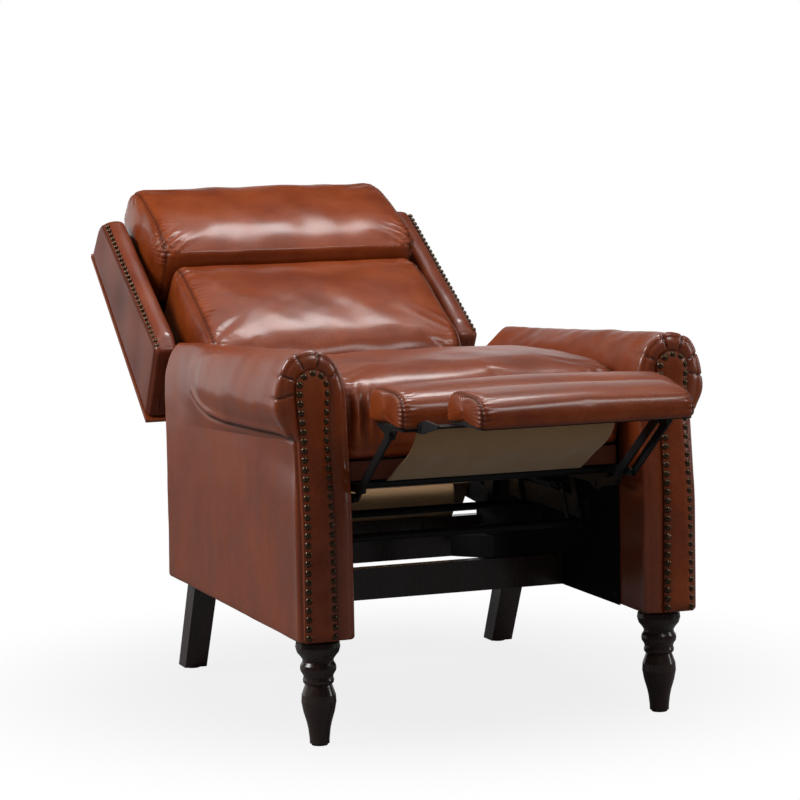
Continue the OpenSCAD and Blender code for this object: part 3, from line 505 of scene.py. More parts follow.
FINISHES = {
    "front_leg rear_leg mid_rail rear_rail": dark_wood,
    "arm_frame back_frame": frame_wood,
    "seat_frame footrest_board flipper_board corner_blocks": black_wood,
    "arm_lining": lining,
    "leg_glides": glide,
    "seat_springs tension_spring": spring_steel,
    "gap_cloth back_dust_cloth": canvas,
    "seat_cushion lumbar_cushion head_cushion footrest_pad flipper_pad": leather,
    "arm_cover front_panel wing back_panel": leather,
}
for name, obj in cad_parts.items():
    chosen = next((m for words, m in FINISHES.items() if name.startswith(tuple(words.split()))), black_steel)
    obj.data.materials.clear()
    obj.data.materials.append(chosen)


# Cushions

# The simulation: force of the air inside, frames it runs, and how much narrower on either side it starts
AIR, SIM_STEPS, SHRINK = 4.0, 20, 2.0
# Length of a stitch, the gap to the next one and its radius
STITCH_LONG, STITCH_GAP, STITCH_R = 3.6, 1.8, 0.42
# Where the two stitch rows run, in millimetres from the seam
STITCH_ARCS = (-5.0, 4.5)


def swell(grid, cap, hold):
    """Cloth simulation of a closed skin that air inside blows up, gravity off. hold is 1 where the skin is kept.
    Returns how far each grid point moves, at most cap millimetres."""
    points, faces = closed_skin(grid)
    obj = build("swelling", points, faces, leather, None)
    pins = obj.vertex_groups.new(name="pins")
    weights = with_poles(hold).round(1)
    for level in np.unique(weights):
        if level > 0:
            pins.add(np.flatnonzero(weights == level).tolist(), float(level), "REPLACE")
    cloth = obj.modifiers.new("cloth", "CLOTH")
    s = cloth.settings
    s.quality, s.mass, s.air_damping = 4, 0.3, 2.0
    s.tension_stiffness = s.compression_stiffness = 22
    s.shear_stiffness, s.bending_stiffness = 12, 1.2
    s.use_pressure, s.uniform_pressure_force = True, AIR
    s.vertex_group_mass, s.pin_stiffness = "pins", 2.0
    s.effector_weights.gravity = 0
    cloth.collision_settings.use_collision = False
    scene = bpy.context.scene
    cloth.point_cache.frame_start, cloth.point_cache.frame_end = 1, SIM_STEPS
    for k in range(1, SIM_STEPS + 1):
        scene.frame_set(k)
    made = obj.evaluated_get(bpy.context.evaluated_depsgraph_get())
    co = np.zeros(len(points) * 3, np.float32)
    made.data.vertices.foreach_get("co", co)
    moved = (co.reshape(-1, 3) - to_frame(points))[:-2].reshape(grid.shape) * 1000
    scene.frame_set(1)
    bpy.data.objects.remove(obj)
    far = np.linalg.norm(moved, axis=-1, keepdims=True)
    return moved * np.minimum(1, cap / np.maximum(far, 1e-6))


def finer(field, rows, columns):
    """Linear reading of a coarse grid field, closed round its columns, at rows x columns points, then smoothed."""
    m, n = field.shape[:2]
    r = np.linspace(0, m - 1, rows)
    c = np.arange(columns) * n / columns
    r0 = np.minimum(r.astype(int), m - 2)
    c0 = c.astype(int) % n
    fr, fc = (r - r0)[:, None, None], (c - c.astype(int))[None, :, None]
    top = field[r0][:, c0] * (1 - fc) + field[r0][:, (c0 + 1) % n] * fc
    low = field[r0 + 1][:, c0] * (1 - fc) + field[r0 + 1][:, (c0 + 1) % n] * fc
    out = top * (1 - fr) + low * fr
    for _ in range(3):
        out = (np.roll(out, 1, 1) + out * 2 + np.roll(out, -1, 1)) / 4
        out[1:-1] = (out[:-2] + out[1:-1] * 2 + out[2:]) / 4
    return out


def cushion_rows(half, round_r, inner, turn=11, cap=11):
    """Rows of a cushion across the chair: distance x from the middle as a share of the half width, how far the
    outline is drawn in, how far into the gusset, and the arc in millimetres from the seam, which lies 42 degrees
    round the edge."""
    seam = math.radians(42)
    theta = np.linspace(0, math.pi / 2, turn + 1)[1:]
    main = np.linspace(0, 1, inner)
    reach = half - round_r
    share = np.concatenate([main * reach / half, (half - round_r * (1 - np.sin(theta))) / half, np.ones(cap)])
    drawn = np.concatenate([np.zeros(inner), round_r * (1 - np.cos(theta)), np.full(cap, round_r)])
    into = np.concatenate([np.zeros(inner + turn), ease(np.linspace(0, 1, cap + 1)[1:]) ** 0.8])
    arc = np.concatenate([(main - 1) * reach - round_r * seam, round_r * (theta - seam),
                          np.full(cap, round_r * (math.pi / 2 - seam))])
    both = lambda v, sign: np.concatenate([v[:0:-1] * sign, v])
    return both(share, -1), both(drawn, 1), both(into, 1), both(arc, 1)


def cushion_grid(outline, half, round_r, pull, crown, inner, cap=11):
    """Cushion: an outline in (y, z) carried across, sides drawn in by pull between the corners, crown in the middle,
    edges rounded by round_r and flat gussets that close at their own centre. Returns its points and their arcs."""
    share, drawn, into, e = (v[:, None] for v in cushion_rows(half, round_r, inner, cap=cap))
    c = outline.mean(0)
    y_lo, y_hi, z_hi = outline[:, 0].min(), outline[:, 0].max(), outline[:, 1].max()
    v = outline - c
    d = np.maximum(np.linalg.norm(v, axis=1), 1)
    up = np.clip((outline[:, 1] - c[1]) / (z_hi - c[1]), 0, None)
    keep = (1 - np.minimum(drawn, d / 2) / d) * (1 - into * 0.985)
    y = c[0] + v[:, 0] * keep
    z = c[1] + v[:, 1] * keep + crown * up * (1 - share**2)
    along = 2 * (y - y_lo) / (y_hi - y_lo) - 1
    x = share * (half - pull * (1 - along**2))
    arc = e + np.where(into > 0, np.maximum(d * (1 - keep) - drawn, 0), 0)
    return np.stack([x, y, z], -1), arc


def stitch_row(path, normal):
    """Places and axes of stitches along a closed line, each a small rod along the line, sunk in by a part."""
    closed = np.concatenate([path, path[:1]])
    wrap = np.concatenate([normal, normal[:1]])
    s = run_of(closed)
    count = max(1, int(s[-1] / (STITCH_LONG + STITCH_GAP)))
    at = (np.arange(count) + 0.5) * s[-1] / count
    read = lambda values, a: np.stack([np.interp(a % s[-1], s, values[:, k]) for k in range(3)], -1)
    n = unit(read(wrap, at))
    t = unit(read(closed, at + STITCH_LONG / 2) - read(closed, at - STITCH_LONG / 2))
    b = unit(np.cross(n, t))
    return read(closed, at) + n * STITCH_R * 0.3, np.stack([t * STITCH_LONG / 2, b * STITCH_R, n * STITCH_R], 1)


STITCH = np.array([[-1, 0, 0], [-0.7, 0.9, 0], [-0.7, 0, 0.9], [-0.7, -0.9, 0], [-0.7, 0, -0.9],
                   [0.7, 0.9, 0], [0.7, 0, 0.9], [0.7, -0.9, 0], [0.7, 0, -0.9], [1, 0, 0]])
STITCH_TRIS = np.array([[0, 2, 1], [0, 3, 2], [0, 4, 3], [0, 1, 4], [9, 5, 6], [9, 6, 7], [9, 7, 8], [9, 8, 5]])
STITCH_QUADS = np.array([[1, 2, 6, 5], [2, 3, 7, 6], [3, 4, 8, 7], [4, 1, 5, 8]])


def build_stitches(name, rows, body):
    """All stitches of a piece as one mesh."""
    places, axes = (np.concatenate(part) for part in zip(*rows))
    return many(name, STITCH, [STITCH_TRIS, STITCH_QUADS], places, axes, thread, body, "leather")


def curvature(points, spread):
    """How sharply a closed line turns near each point, from 0 on straights to about 1 at its corners."""
    t = unit(np.roll(points, -1, 0) - points)
    bend = np.linalg.norm(t - np.roll(t, 1, 0), axis=1)
    n = len(points)
    for _ in range(spread):
        bend = (np.roll(bend, 1) + 2 * bend + np.roll(bend, -1)) / 4
    return bend / bend.max()


def swollen(grid, start, arc, hold, cap):
    """How far the points of a cushion's grid move in the simulation, which runs on its coarser grid start."""
    moved = swell(start, cap, np.maximum(bell(arc, 5.0) * 0.9, hold))
    # the coarse rows are read where the fine rows lie, by their place across the skin
    low_run, fine_run = run_of(start[:, 0]), run_of(grid[:, 0])
    dense = finer(moved, 4 * len(start) - 3, grid.shape[1])
    at = np.interp(fine_run / fine_run[-1], low_run / low_run[-1], np.linspace(0, len(dense) - 1, len(start)))
    lo = at.astype(int)
    hi = np.minimum(lo + 1, len(dense) - 1)
    f = (at - lo)[:, None, None]
    return dense[lo] * (1 - f) + dense[hi] * f


def cushion(name, outline, half, round_r, pull, crown, node, body, seed, across, around, rests, leaning=False,
            seam=1.6, pucker=1.4, pitch=11.0, reach=13.0, everywhere=0.25, cap_mm=9.0,
            wrinkle=0.6, gusset=3.0, gathers=(), widest=None):
    """A stuffed piece: the swollen skin, then gusset seams with puckers that fade away from them, and stitches.
    Pucker height is pucker * sin(arc / pitch) * exp(-|e| / reach), higher where the outline turns. Each gather is
    high * sin(2 pi s / pitch) * exp(-(d / wide)^2) about a point, s being the way along a given direction.
    rests gives 1 where the skin is held, and no point goes further from the middle than widest."""
    line = even(outline, around, True)
    grid, arc = cushion_grid(line, half, round_r, pull, crown, across)
    rows, columns = grid.shape[:2]
    run = run_of(line)
    turn = curvature(line, int(columns / 40))
    free = 1 - rests(grid)
    start, low_arc = cushion_grid(even(outline, around // 3, True), half - SHRINK, round_r, pull, crown,
                                  across // 3, cap=5)
    grid = grid + swollen(grid, start, low_arc, rests(start), cap_mm) * free[..., None]
    n = normals_of(grid)
    wave = np.sin(2 * math.pi * run / pitch + 2.2 * np.sin(run / 31 + seed) + 1.1 * np.sin(run / 13 + 2 * seed))
    strong = everywhere + (1 - everywhere) * np.clip(turn * 1.3, 0, 1)
    near = np.exp(-np.abs(arc) / reach) * (1 - bell(arc, 2.2))
    puckers = wave * strong * near
    outward = np.clip(arc, 0, None)
    height = pucker * puckers - seam * bell(arc, 2.3) - 0.5 * seam * bell(arc, 7.0)
    height = height + gusset * np.clip(arc / 30, 0, 1) * outward / (outward + 25)
    height = height + wrinkle * ripple(grid, 95, seed) + 0.12 * wrinkle * ripple(grid, 42, seed + 1)
    gathered = 0 * arc
    for centre, toward, period, wide, high in gathers:
        off = grid - np.asarray(centre, float)
        s = off @ unit(np.asarray(toward, float)) + 0.06 * period * ripple(grid, 40, seed + 3)
        gathered = gathered + high * np.sin(2 * math.pi * s / period) * bell(np.linalg.norm(off, axis=-1), wide)
    grid = grid + n * ((height + gathered) * free)[..., None]
    if widest:
        grid[..., 0] = np.clip(grid[..., 0], -widest, widest)
    # painted shade: the seams and the hollows of the puckers and gathers are marked for darker leather
    crease = np.clip(-puckers, 0, 1) * 0.35 + np.clip(-gathered * free / 3, 0, 1) * 0.7
    fold = np.clip(bell(arc, 2.6) * 0.9 + crease, 0, 1)
    points = lean_back(grid) if leaning else grid
    piece = build_tube(name, points, leather, body, "leather", {"fold": fold}, [node])
    n = normals_of(points)
    stitched = []
    for first, last in ((0, rows // 2), (rows // 2, rows)):
        for want in STITCH_ARCS:
            row = first + int(np.abs(arc[first:last, 0] - want).argmin())
            stitched.append(stitch_row(points[row], n[row]))
    build_stitches(name + "_stitches", stitched, body)


# Side outlines of the cushions in (y, z), the seat's and the pads' as shares of their depth and thickness
SEAT_DEEP, SEAT_THICK = 567, 142
SEAT_SHARES = np.array([
    [0.03, 0.01], [-0.005, 0.16], [-0.012, 0.42], [0.0, 0.72], [0.055, 0.9], [0.17, 0.965], [0.36, 0.985],
    [0.58, 0.955], [0.76, 0.87], [0.88, 0.72], [0.955, 0.5], [0.985, 0.24], [0.96, 0.01],
    [0.75, 0], [0.5, 0], [0.25, 0]])
SEAT_LINE = through(np.array([SEAT_FRONT, DECK_Z]) + SEAT_SHARES * (SEAT_DEEP, SEAT_THICK), 12, True)
SEAT_LINE[:, 1] = np.maximum(SEAT_LINE[:, 1], DECK_Z + 0.5)

REST_Y = FRAME_FRONT - 0.3
LUMBAR_FOOT, LUMBAR_FRONT, CREASE_Z, CREASE_FRONT = 245.0, 140.0, 569.0, 81.0
LUMBAR_LINE = through([
    [FRAME_FRONT - 12, LUMBAR_FOOT - 100], [-38, LUMBAR_FOOT - 60], [-62, LUMBAR_FOOT - 16],
    [-112, LUMBAR_FOOT + 2], [-LUMBAR_FRONT, LUMBAR_FOOT + 36], [-LUMBAR_FRONT + 2, LUMBAR_FOOT + 110],
    [-LUMBAR_FRONT + 18, LUMBAR_FOOT + 200], [-CREASE_FRONT - 20, CREASE_Z - 34], [-CREASE_FRONT + 6, CREASE_Z - 6],
    [-CREASE_FRONT + 50, CREASE_Z - 2], [FRAME_FRONT - 8, CREASE_Z - 8], [REST_Y, CREASE_Z - 40],
    [REST_Y, LUMBAR_FOOT + 180], [REST_Y, LUMBAR_FOOT + 60], [REST_Y - 1, LUMBAR_FOOT - 60]], 12, True)
LUMBAR_LINE[:, 0] = np.minimum(LUMBAR_LINE[:, 0], REST_Y)
HEAD_LINE = through([
    [-CREASE_FRONT - 2, CREASE_Z + 4], [-CREASE_FRONT - 25, CREASE_Z + 22], [-CREASE_FRONT - 29, CREASE_Z + 84],
    [-CREASE_FRONT - 10, CREASE_Z + 166], [-CREASE_FRONT + 14, CREASE_Z + 232], [-CREASE_FRONT + 50, CREASE_Z + 268],
    [FRAME_FRONT - 12, CREASE_Z + 268], [FRAME_FRONT + 6, CREASE_Z + 238], [REST_Y, CREASE_Z + 214],
    [REST_Y, CREASE_Z + 150], [REST_Y, CREASE_Z + 60], [FRAME_FRONT - 8, CREASE_Z + 8],
    [-CREASE_FRONT + 50, CREASE_Z + 2]], 12, True)


def on_frame(p):
    """1 where a back cushion rests on the frame behind it."""
    return ease((p[..., 1] - (REST_Y - 16)) / 12)


def lumbar_rest(p):
    """The lumbar cushion rests on the frame and under the head cushion's crease, and its foot keeps its shape."""
    foot = ease((LUMBAR_FOOT + 22 - p[..., 2]) / 30)
    top = ease((p[..., 2] - (CREASE_Z - 20)) / 14)
    return np.maximum(np.maximum(on_frame(p), foot), top)


def head_rest(p):
    """The head cushion rests on the frame and on the lumbar cushion."""
    low = ease((CREASE_Z + 18 - p[..., 2]) / 14)
    return np.maximum(np.where(p[..., 2] < CREASE_Z + 200, on_frame(p), 0), low)


def deck_rest(p):
    """The seat cushion lies flat on its deck, and its rear end keeps off the lumbar cushion."""
    return np.maximum(ease((DECK_Z + 14 - p[..., 2]) / 12), ease((p[..., 1] - 380) / 60))


cushion("seat_cushion_leather", SEAT_LINE, half=240, round_r=22, pull=3, crown=4.2, node="seat_cushion",
        body="seat", seed=3, across=66, around=420, rests=deck_rest,
        pucker=1.2, cap_mm=5, wrinkle=0.9, widest=242.5,
        gathers=[((s * 222, 20, 515), (1, 0.4 * s, 0), 19, 36, 4.6) for s in (-1, 1)])
cushion("lumbar_cushion_leather", LUMBAR_LINE, half=242, round_r=26, pull=4, crown=0, node="lumbar_cushion",
        body="back", seed=5, across=66, around=400, rests=lumbar_rest,
        leaning=True, cap_mm=9, wrinkle=1.1, pucker=1.9, gusset=1.0,
        gathers=[((s * 232, -104, 536), (0.5 * s, 0, 1), 15, 24, 2.2) for s in (-1, 1)])
cushion("head_cushion_leather", HEAD_LINE, half=257, round_r=34, pull=4, crown=0, node="head_cushion",
        body="back", seed=8, across=66, around=360, rests=head_rest,
        leaning=True, cap_mm=6, wrinkle=0.9, pucker=2.4, gusset=2.0,
        gathers=[((s * 244, -98, 604), (0.75 * s, 0, 1), 15, 28, 3.0) for s in (-1, 1)])

PAD_SHARES = np.array([
    [0.02, 0.03], [-0.005, 0.3], [0.01, 0.64], [0.08, 0.9], [0.26, 1.0], [0.52, 1.01], [0.76, 0.95], [0.92, 0.8],
    [1.0, 0.56], [1.01, 0.3], [0.97, 0.03], [0.7, 0], [0.3, 0]])


def pad_line(rear, deep, low, thick):
    """Side outline of a footrest pad, from its rear foot over the top to its front foot."""
    p = through(np.array([rear, low]) + PAD_SHARES * (-deep, thick * 0.92), 16, True)
    p[:, 1] = np.maximum(p[:, 1], low + 0.3)
    return p


def pad_rest(low):
    """A pad lies flat on its board."""
    return lambda p: ease((low + 7 - p[..., 2]) / 6)


# Rear end, depth, foot and thickness of the pad on the board and of the front pad
PAD_REAR, PAD_D, PAD_Z, PAD_T = -82.0, 146.0, 516.3, 61.7
FLIP_REAR, FLIP_D, FLIP_Z, FLIP_T = -250.0, 141.0, 529.3, 52.7
for name, line, half, crown, body, seed, across, around, low in (
        ("footrest_pad", pad_line(PAD_REAR, PAD_D, PAD_Z, PAD_T), 235, 4, "footrest", 11, 84, 300, PAD_Z),
        ("flipper_pad", pad_line(FLIP_REAR, FLIP_D, FLIP_Z, FLIP_T), 174, 3.3, "flipper", 14, 62, 290, FLIP_Z)):
    cushion(name + "_leather", line, half, 14, 3, crown, name, body, seed, across, around, rests=pad_rest(low),
            pucker=1.5, pitch=8.5, reach=8, everywhere=0.85, cap_mm=4, seam=1.3, wrinkle=0.5, gusset=1.5)


# Arms

FRONT_ROLL = through([
    [0, 0.58], [0.02, 0.45], [0.075, 0.3], [0.19, 0.145], [0.36, 0.045], [0.55, 0], [0.76, 0.012],
    [0.95, 0.06], [1.11, 0.155], [1.22, 0.28], [1.28, 0.42], [1.28, 0.56], [1.24, 0.7], [1.165, 0.83],
    [1.07, 0.94], [1, 1]], 7, False)
REAR_ROLL = through([
    [0, 0.45], [0.07, 0.34], [0.2, 0.25], [0.36, 0.15], [0.5, 0.06], [0.6, 0.01], [0.68, 0], [0.75, 0.02],
    [0.82, 0.08], [0.88, 0.16], [0.93, 0.26], [0.97, 0.36], [0.99, 0.46], [1, 0.62], [1, 0.8], [1, 1]], 7, False)
# Sizes of the cover: the rounding of its front edge and of its foot, where its rear ends as a share of the depth,
# and how far its rear edge is drawn in
EDGE_R, FOOT_R, ARM_END = 8.0, 5.0, 0.991
REAR_IN = np.array([0.6, 2.2, 5.0])
# Depths and heights of its relief, in millimetres
FACE_BULGE, PLEAT_DENT, ARM_BELLY, ARM_WAIST = 4.6, 3.0, 6.0, 5.0
CREASE_DENT, LIP_RISE, NICK_DENT = 3.6, 2.6, 1.6
PLEATS = np.radians([-16, 23, 65, 104, 154])
# The crease under the roll, in (y, z)
CREASE = np.array([[-41, 487], [5, 489], [147, 486], [280, 482], [391, 484], [448, 495], [476, 506], [496, 516],
                   [527, 532], [560, 546], [667, 560]])


def arm_outline(t):
    """Outline of the arm in (x, z) at shares t of its depth: the front roll turns into the rear one by ease(t)."""
    t = np.asarray(t, float)[:, None]
    m = ease((t - 0.42) / 0.5)
    u = FRONT_ROLL[:, 0] + (REAR_ROLL[:, 0] - FRONT_ROLL[:, 0]) * m
    d = FRONT_ROLL[:, 1] + (REAR_ROLL[:, 1] - FRONT_ROLL[:, 1]) * m
    top = ARM_H - ARM_FALL * t
    x = ARM_IN + np.minimum(u, 1) * ARM_W + np.maximum(0, u - 1) / 0.28 * ROLL_OUT
    z = top - d * ROLL_H
    a = np.linspace(0, math.pi / 2, 6)[1:-1]
    down = np.concatenate([np.array([0.5, 1.2, 2.2, 3.6, 5.5, 8, 12, 18, 27, 40]) / 300, np.linspace(0.18, 1, 26)])
    wall, foot = ARM_IN + ARM_W, LEG_H + FOOT_R
    side_z = z[:, -1:] + (foot - z[:, -1:]) * down
    inner_z = foot + (z[:, :1] - foot) * np.linspace(0, 1, 42)[:-1]
    under = np.linspace(wall - FOOT_R, ARM_IN + FOOT_R, 12)
    flat = lambda v: np.repeat(np.asarray(v)[None], len(t), 0)
    xs = [x, np.full_like(side_z, wall), flat(wall - FOOT_R + FOOT_R * np.cos(a)), flat(under),
          flat(ARM_IN + FOOT_R - FOOT_R * np.sin(a)), np.full_like(inner_z, ARM_IN)]
    zs = [z, side_z, flat(foot - FOOT_R * np.sin(a)), flat(np.full(12, LEG_H)), flat(foot - FOOT_R * np.cos(a)),
          inner_z]
    return np.stack([np.concatenate(xs, 1), np.concatenate(zs, 1)], -1)


# The front panel: its thickness, the radius of its arch, how far inside its edge the cover is tucked, how far
# inside it the nails stand, and how far apart
PANEL_THICK, ARCH_R, TUCK, NAILS_IN, ARM_PITCH = 6.5, 28.0, 3.0, 6.3, 14.5


def panel_half(z):
    """Half width of the front panel at a height: widest at the arch, narrow at the waist."""
    waist_z = ARM_H - ROLL_H
    wide = 24 + 4 * (1 - np.cos(math.pi * (z - waist_z) / (ROLL_Z - waist_z))) / 2
    return np.where(z > waist_z, wide, 27 - 3 * (z - LEG_H) / (waist_z - LEG_H))


def core_of(outline):
    """Where each outline point meets the front panel, just inside its edge: round the arch above its centre,
    level with the point below it."""
    x, z = outline[:, 0] - ROLL_X, outline[:, 1]
    angle = np.arctan2(z - ROLL_Z, x)
    arch = (ROLL_X, ROLL_Z) + (ARCH_R - TUCK) * np.stack([np.cos(angle), np.sin(angle)], -1)
    level = np.clip(z, LEG_H + 2, ROLL_Z)
    edge = np.clip(x / (ARM_W / 2) * 30, -1, 1)
    beside = np.stack([ROLL_X + edge * (panel_half(level) - TUCK), level], -1)
    share = ease((z - (ROLL_Z - 26)) / 26)[:, None]
    foot = np.stack([ROLL_X + np.clip(x * 0.5, -23, 23), np.full_like(z, LEG_H + 2)], -1)
    return np.where((z < LEG_H + 3)[:, None], foot, beside * (1 - share) + arch * share)


def front_lean(z):
    """How far back the front of an arm lies at a height, against its mean plane: the foot stands forward."""
    return -7 + 19 * ease((z - 330) / 230)


def arm_skin():
    """Points of an arm's leather before its relief: the front face runs out from the panel to the rolled edge,
    outlines are carried back, and the rear face is drawn in to its middle."""
    t = np.concatenate([np.linspace(0, 0.12, 26), np.linspace(0.12, 1, 92)[1:]])
    t = EDGE_R / ARM_D + (ARM_END - EDGE_R / ARM_D) * t
    first, last = arm_outline(np.array([0.0, 1.0]))
    core = core_of(first)
    span = np.linalg.norm(core - first, axis=1)
    level = 0 * span[None]
    theta = np.linspace(math.pi / 2, 0, 10)[:-1][:, None]
    shares = np.linspace(1, 0, 16)[:-1][:, None]
    # how far in from the edge: over the flat face, then over the rolled edge
    inward = [EDGE_R + np.maximum(span - EDGE_R, 1) * shares, EDGE_R * (1 - np.cos(theta)) + level]
    front = [first + (core - first) * (way / span)[..., None] for way in inward]
    tall = last - (ARM_IN + ARM_W / 2, 380.0)
    pull = REAR_IN[:, None] / np.maximum(np.abs(tall).max(1), 8)
    pull = np.concatenate([pull, np.array([[0.3], [0.6], [0.97]]) + level])
    rear = last - tall * pull[..., None]
    rear_y = ARM_D - ARM_FRONT - np.array([3.6, 1.5, 0.0, 0.0, 0.0, 0.0])
    face_y = -ARM_FRONT - FACE_BULGE * np.sin(math.pi * shares) ** 0.8
    roll_y = -ARM_FRONT + EDGE_R * (1 - np.sin(theta))
    ys = [face_y, roll_y, (t * ARM_D - ARM_FRONT)[:, None], rear_y[:, None]]
    outlines = np.concatenate([*front, arm_outline(t), rear])
    return np.stack([outlines[..., 0], np.concatenate(ys) + level, outlines[..., 1]], -1)


def arm_cover(name, side):
    """Leather of one arm. Its relief: five pleats round the front roll that fade along it, the crease under the
    roll with its lip and the belly above it, the waist below it, and a seam across the inner face."""
    grid = arm_skin()
    n = normals_of(grid)
    x, z = grid[..., 0], grid[..., 2]
    depth = grid[..., 1] + ARM_FRONT
    angle, radius = np.arctan2(z - ROLL_Z, x - ROLL_X), np.hypot(z - ROLL_Z, x - ROLL_X)
    gap = np.abs((angle[..., None] - PLEATS + math.pi) % (2 * math.pi) - math.pi).min(-1) * radius
    ring = np.exp(-np.clip(depth - 4, 0, None) / 20) * ease((radius - 26) / 10) * ease((z - (ROLL_Z - 55)) / 20)
    pleats = (0.2 * (1 - bell(gap, 13)) - PLEAT_DENT * bell(gap, 1.7) - 0.5 * bell(gap, 7)) * ring
    over_crease = z - np.interp(grid[..., 1], CREASE[:, 0], CREASE[:, 1])
    outer = x > ARM_IN + ARM_W - 2.5
    fades = outer * ease((0.765 - depth / ARM_D) / 0.06)
    crease, lip = bell(over_crease, 4.0) * fades, bell(over_crease - 9, 6.5) * fades
    nick = bell((z - 499) - 0.35 * (depth - 8), 2.2) * outer * ease((34 - depth) / 14)
    seam = bell(z - 372, 1.8) * (x < ROLL_X - 22) * ease((76 - depth) / 20)
    belly = bell(z - 532, 31) * outer * ease((470 - depth) / 300) * ease(depth / 10 + 0.4)
    waist = bell(z - 452, 42) * outer * ease((200 - depth) / 200)
    soft = 0.9 * ripple(grid, 120, 21 + side) + 0.35 * ripple(grid, 45, 5 + side)
    push = pleats + soft * (0.35 + 0.65 * ease(over_crease / 25)) * ease((depth + 2) / 20) - seam
    push = push + ARM_BELLY * belly - CREASE_DENT * crease + LIP_RISE * lip - NICK_DENT * nick
    push = np.where(x < ARM_IN + 2, np.minimum(push, 0.0), push - ARM_WAIST * waist)
    grid = grid + n * push[..., None]
    grid[..., 1] += front_lean(grid[..., 2]) * ease((150 - depth) / 150)
    # painted shade: the pleats' hollows, the crease under the roll, the nick and the seam are marked for darker
    # leather
    fold = np.clip(0.9 * bell(gap, 2.2) * ring + 0.9 * crease + 0.5 * nick + seam * 0.8, 0, 1)
    marks = {"fold": fold, "shine": ease((26 - depth) / 24)}
    return build_tube("arm_leather_" + name, grid * (side, 1, 1), leather_side, "base", "leather", marks,
                      ["arm_cover_" + name])


# Rounding of a padded panel's edge
PANEL_R = 3.5


def padded_panel(name, levels, half, inward, y_back, thick, dome, wide, body, node, seed, side=1, mid_x=0.0,
                 leaning=False, line=0.95, shift=None):
    """Padded panel carried up its height: at each level a section as wide as half(z), flat behind. Its face stands
    thick off the back, is rounded by PANEL_R and domed by dome * (1 - (1 - d / wide)^2), d the way in from the edge.
    line is how dark the painted shade along its edge is, and shift(z) moves it back at a height."""
    w = np.sin(np.linspace(-math.pi / 2, math.pi / 2, 41))
    u = np.concatenate([w, w[::-1]])
    z = levels[:, None] + 0 * u[None]
    x = half(levels)[:, None] * u[None]
    d = inward(x, z)
    edge = np.sqrt(PANEL_R**2 - (PANEL_R - np.clip(d, 0, PANEL_R)) ** 2)
    rise = abs(thick) - PANEL_R + edge + dome * (1 - (1 - np.clip((d - PANEL_R) / wide, 0, 1)) ** 2)
    rise = rise + 0.5 * ripple(np.stack([x, 0 * x, z], -1), 60, seed) * ease(d / 12)
    y = np.where(np.arange(len(u)) < len(w), y_back + math.copysign(1, thick) * rise, y_back)
    y = y + shift(z) if shift else y
    grid = np.stack([(x + mid_x) * side, y, z], -1)
    # painted shade along the panel's rim, where it meets the cover
    marks = {"fold": line * bell(d, 1.6)}
    return build_tube(name, lean_back(grid) if leaning else grid, leather, body, "leather", marks, [node])


def in_front_panel(x, z):
    """Distance in from the outline of the front panel."""
    below = np.minimum(panel_half(np.minimum(z, ROLL_Z)) - np.abs(x), z - LEG_H)
    return np.clip(np.where(z > ROLL_Z, ARCH_R - np.hypot(x, z - ROLL_Z), below), 0, None)


def front_panel_half(z):
    """Half width of the front panel, arch and all."""
    arch = np.sqrt(np.clip(ARCH_R**2 - (z - ROLL_Z) ** 2, 0.01, None))
    return np.where(z > ROLL_Z, arch, panel_half(np.minimum(z, ROLL_Z)))


FRONT_LEVELS = np.concatenate([
    np.linspace(LEG_H, LEG_H + 6, 7), np.linspace(LEG_H + 9, ROLL_Z, 90),
    ROLL_Z + ARCH_R * np.sin(np.linspace(0, math.pi / 2, 26)[1:-1]), [ROLL_Z + ARCH_R - 0.02]])
NAIL = [(6.0, -0.6), (5.9, 0.5), (5.4, 1.6), (4.4, 2.7), (3.1, 3.6), (1.6, 4.1), (0.4, 4.3)]


def nails(name, places, out, body, size=1.0):
    """Domed nailheads, size times 12 mm across, standing out along the given directions."""
    shape, faces = lathe(np.array(NAIL) * size, 12)
    u = unit(np.cross(out, [0.2, 0.3, 1.0]))
    return many(name, shape, faces, places, np.stack([u, np.cross(out, u), out], 1), nail_brass, body)


for name, side in SIDES:
    arm_cover(name, side)
    padded_panel("front_panel_leather_" + name, FRONT_LEVELS, front_panel_half, in_front_panel,
                 y_back=-ARM_FRONT, thick=-PANEL_THICK, dome=4.2, wide=15, body="base", node="front_panel_" + name,
                 seed=31 + side, side=side, mid_x=ROLL_X, shift=front_lean)
    z = np.linspace(LEG_H + 9, ROLL_Z, 60)
    right = np.stack([panel_half(z) - NAILS_IN, z], -1)
    a = np.linspace(0, math.pi, 30)[1:-1, None]
    arch = (0, ROLL_Z) + (ARCH_R - NAILS_IN) * np.concatenate([np.cos(a), np.sin(a)], 1)
    x, z = every(np.concatenate([right, arch, right[::-1] * (-1, 1)]), ARM_PITCH).T
    places = np.stack([(x + ROLL_X) * side, -ARM_FRONT - PANEL_THICK - 0.4 + front_lean(z), z], -1)
    nails("arm_nails_" + name, places, np.tile([0.0, -1.0, 0.0], (len(x), 1)), "base")


# Wings

# Corners of a wing's side in (y, z)
FRONT_FOOT, FRONT_TOP, REAR_FOOT, REAR_TOP = (-69.6, 356.0), (-21.6, 779.0), (80.0, 332.0), (80.0, 790.0)
# Where its middle lies across the chair, its half width, the rounding of its corners and the rows of its grid
WING_X, WING_HALF, WING_R, WING_ROWS = 293.5, 21.5, 9.0, 58
# Rounding of its ends, how far its front top corner is dropped, and the padding of its front
WING_END, CORNER_DROP, WING_PAD = 12.0, 17.0, 9.5
# How far across its front, from where to where, how far apart and at what size its nails stand
WING_NAIL_X, WING_NAIL_Z, WING_PITCH, WING_NAIL = 15.0, np.linspace(370, 748, 200), 13.4, 0.84


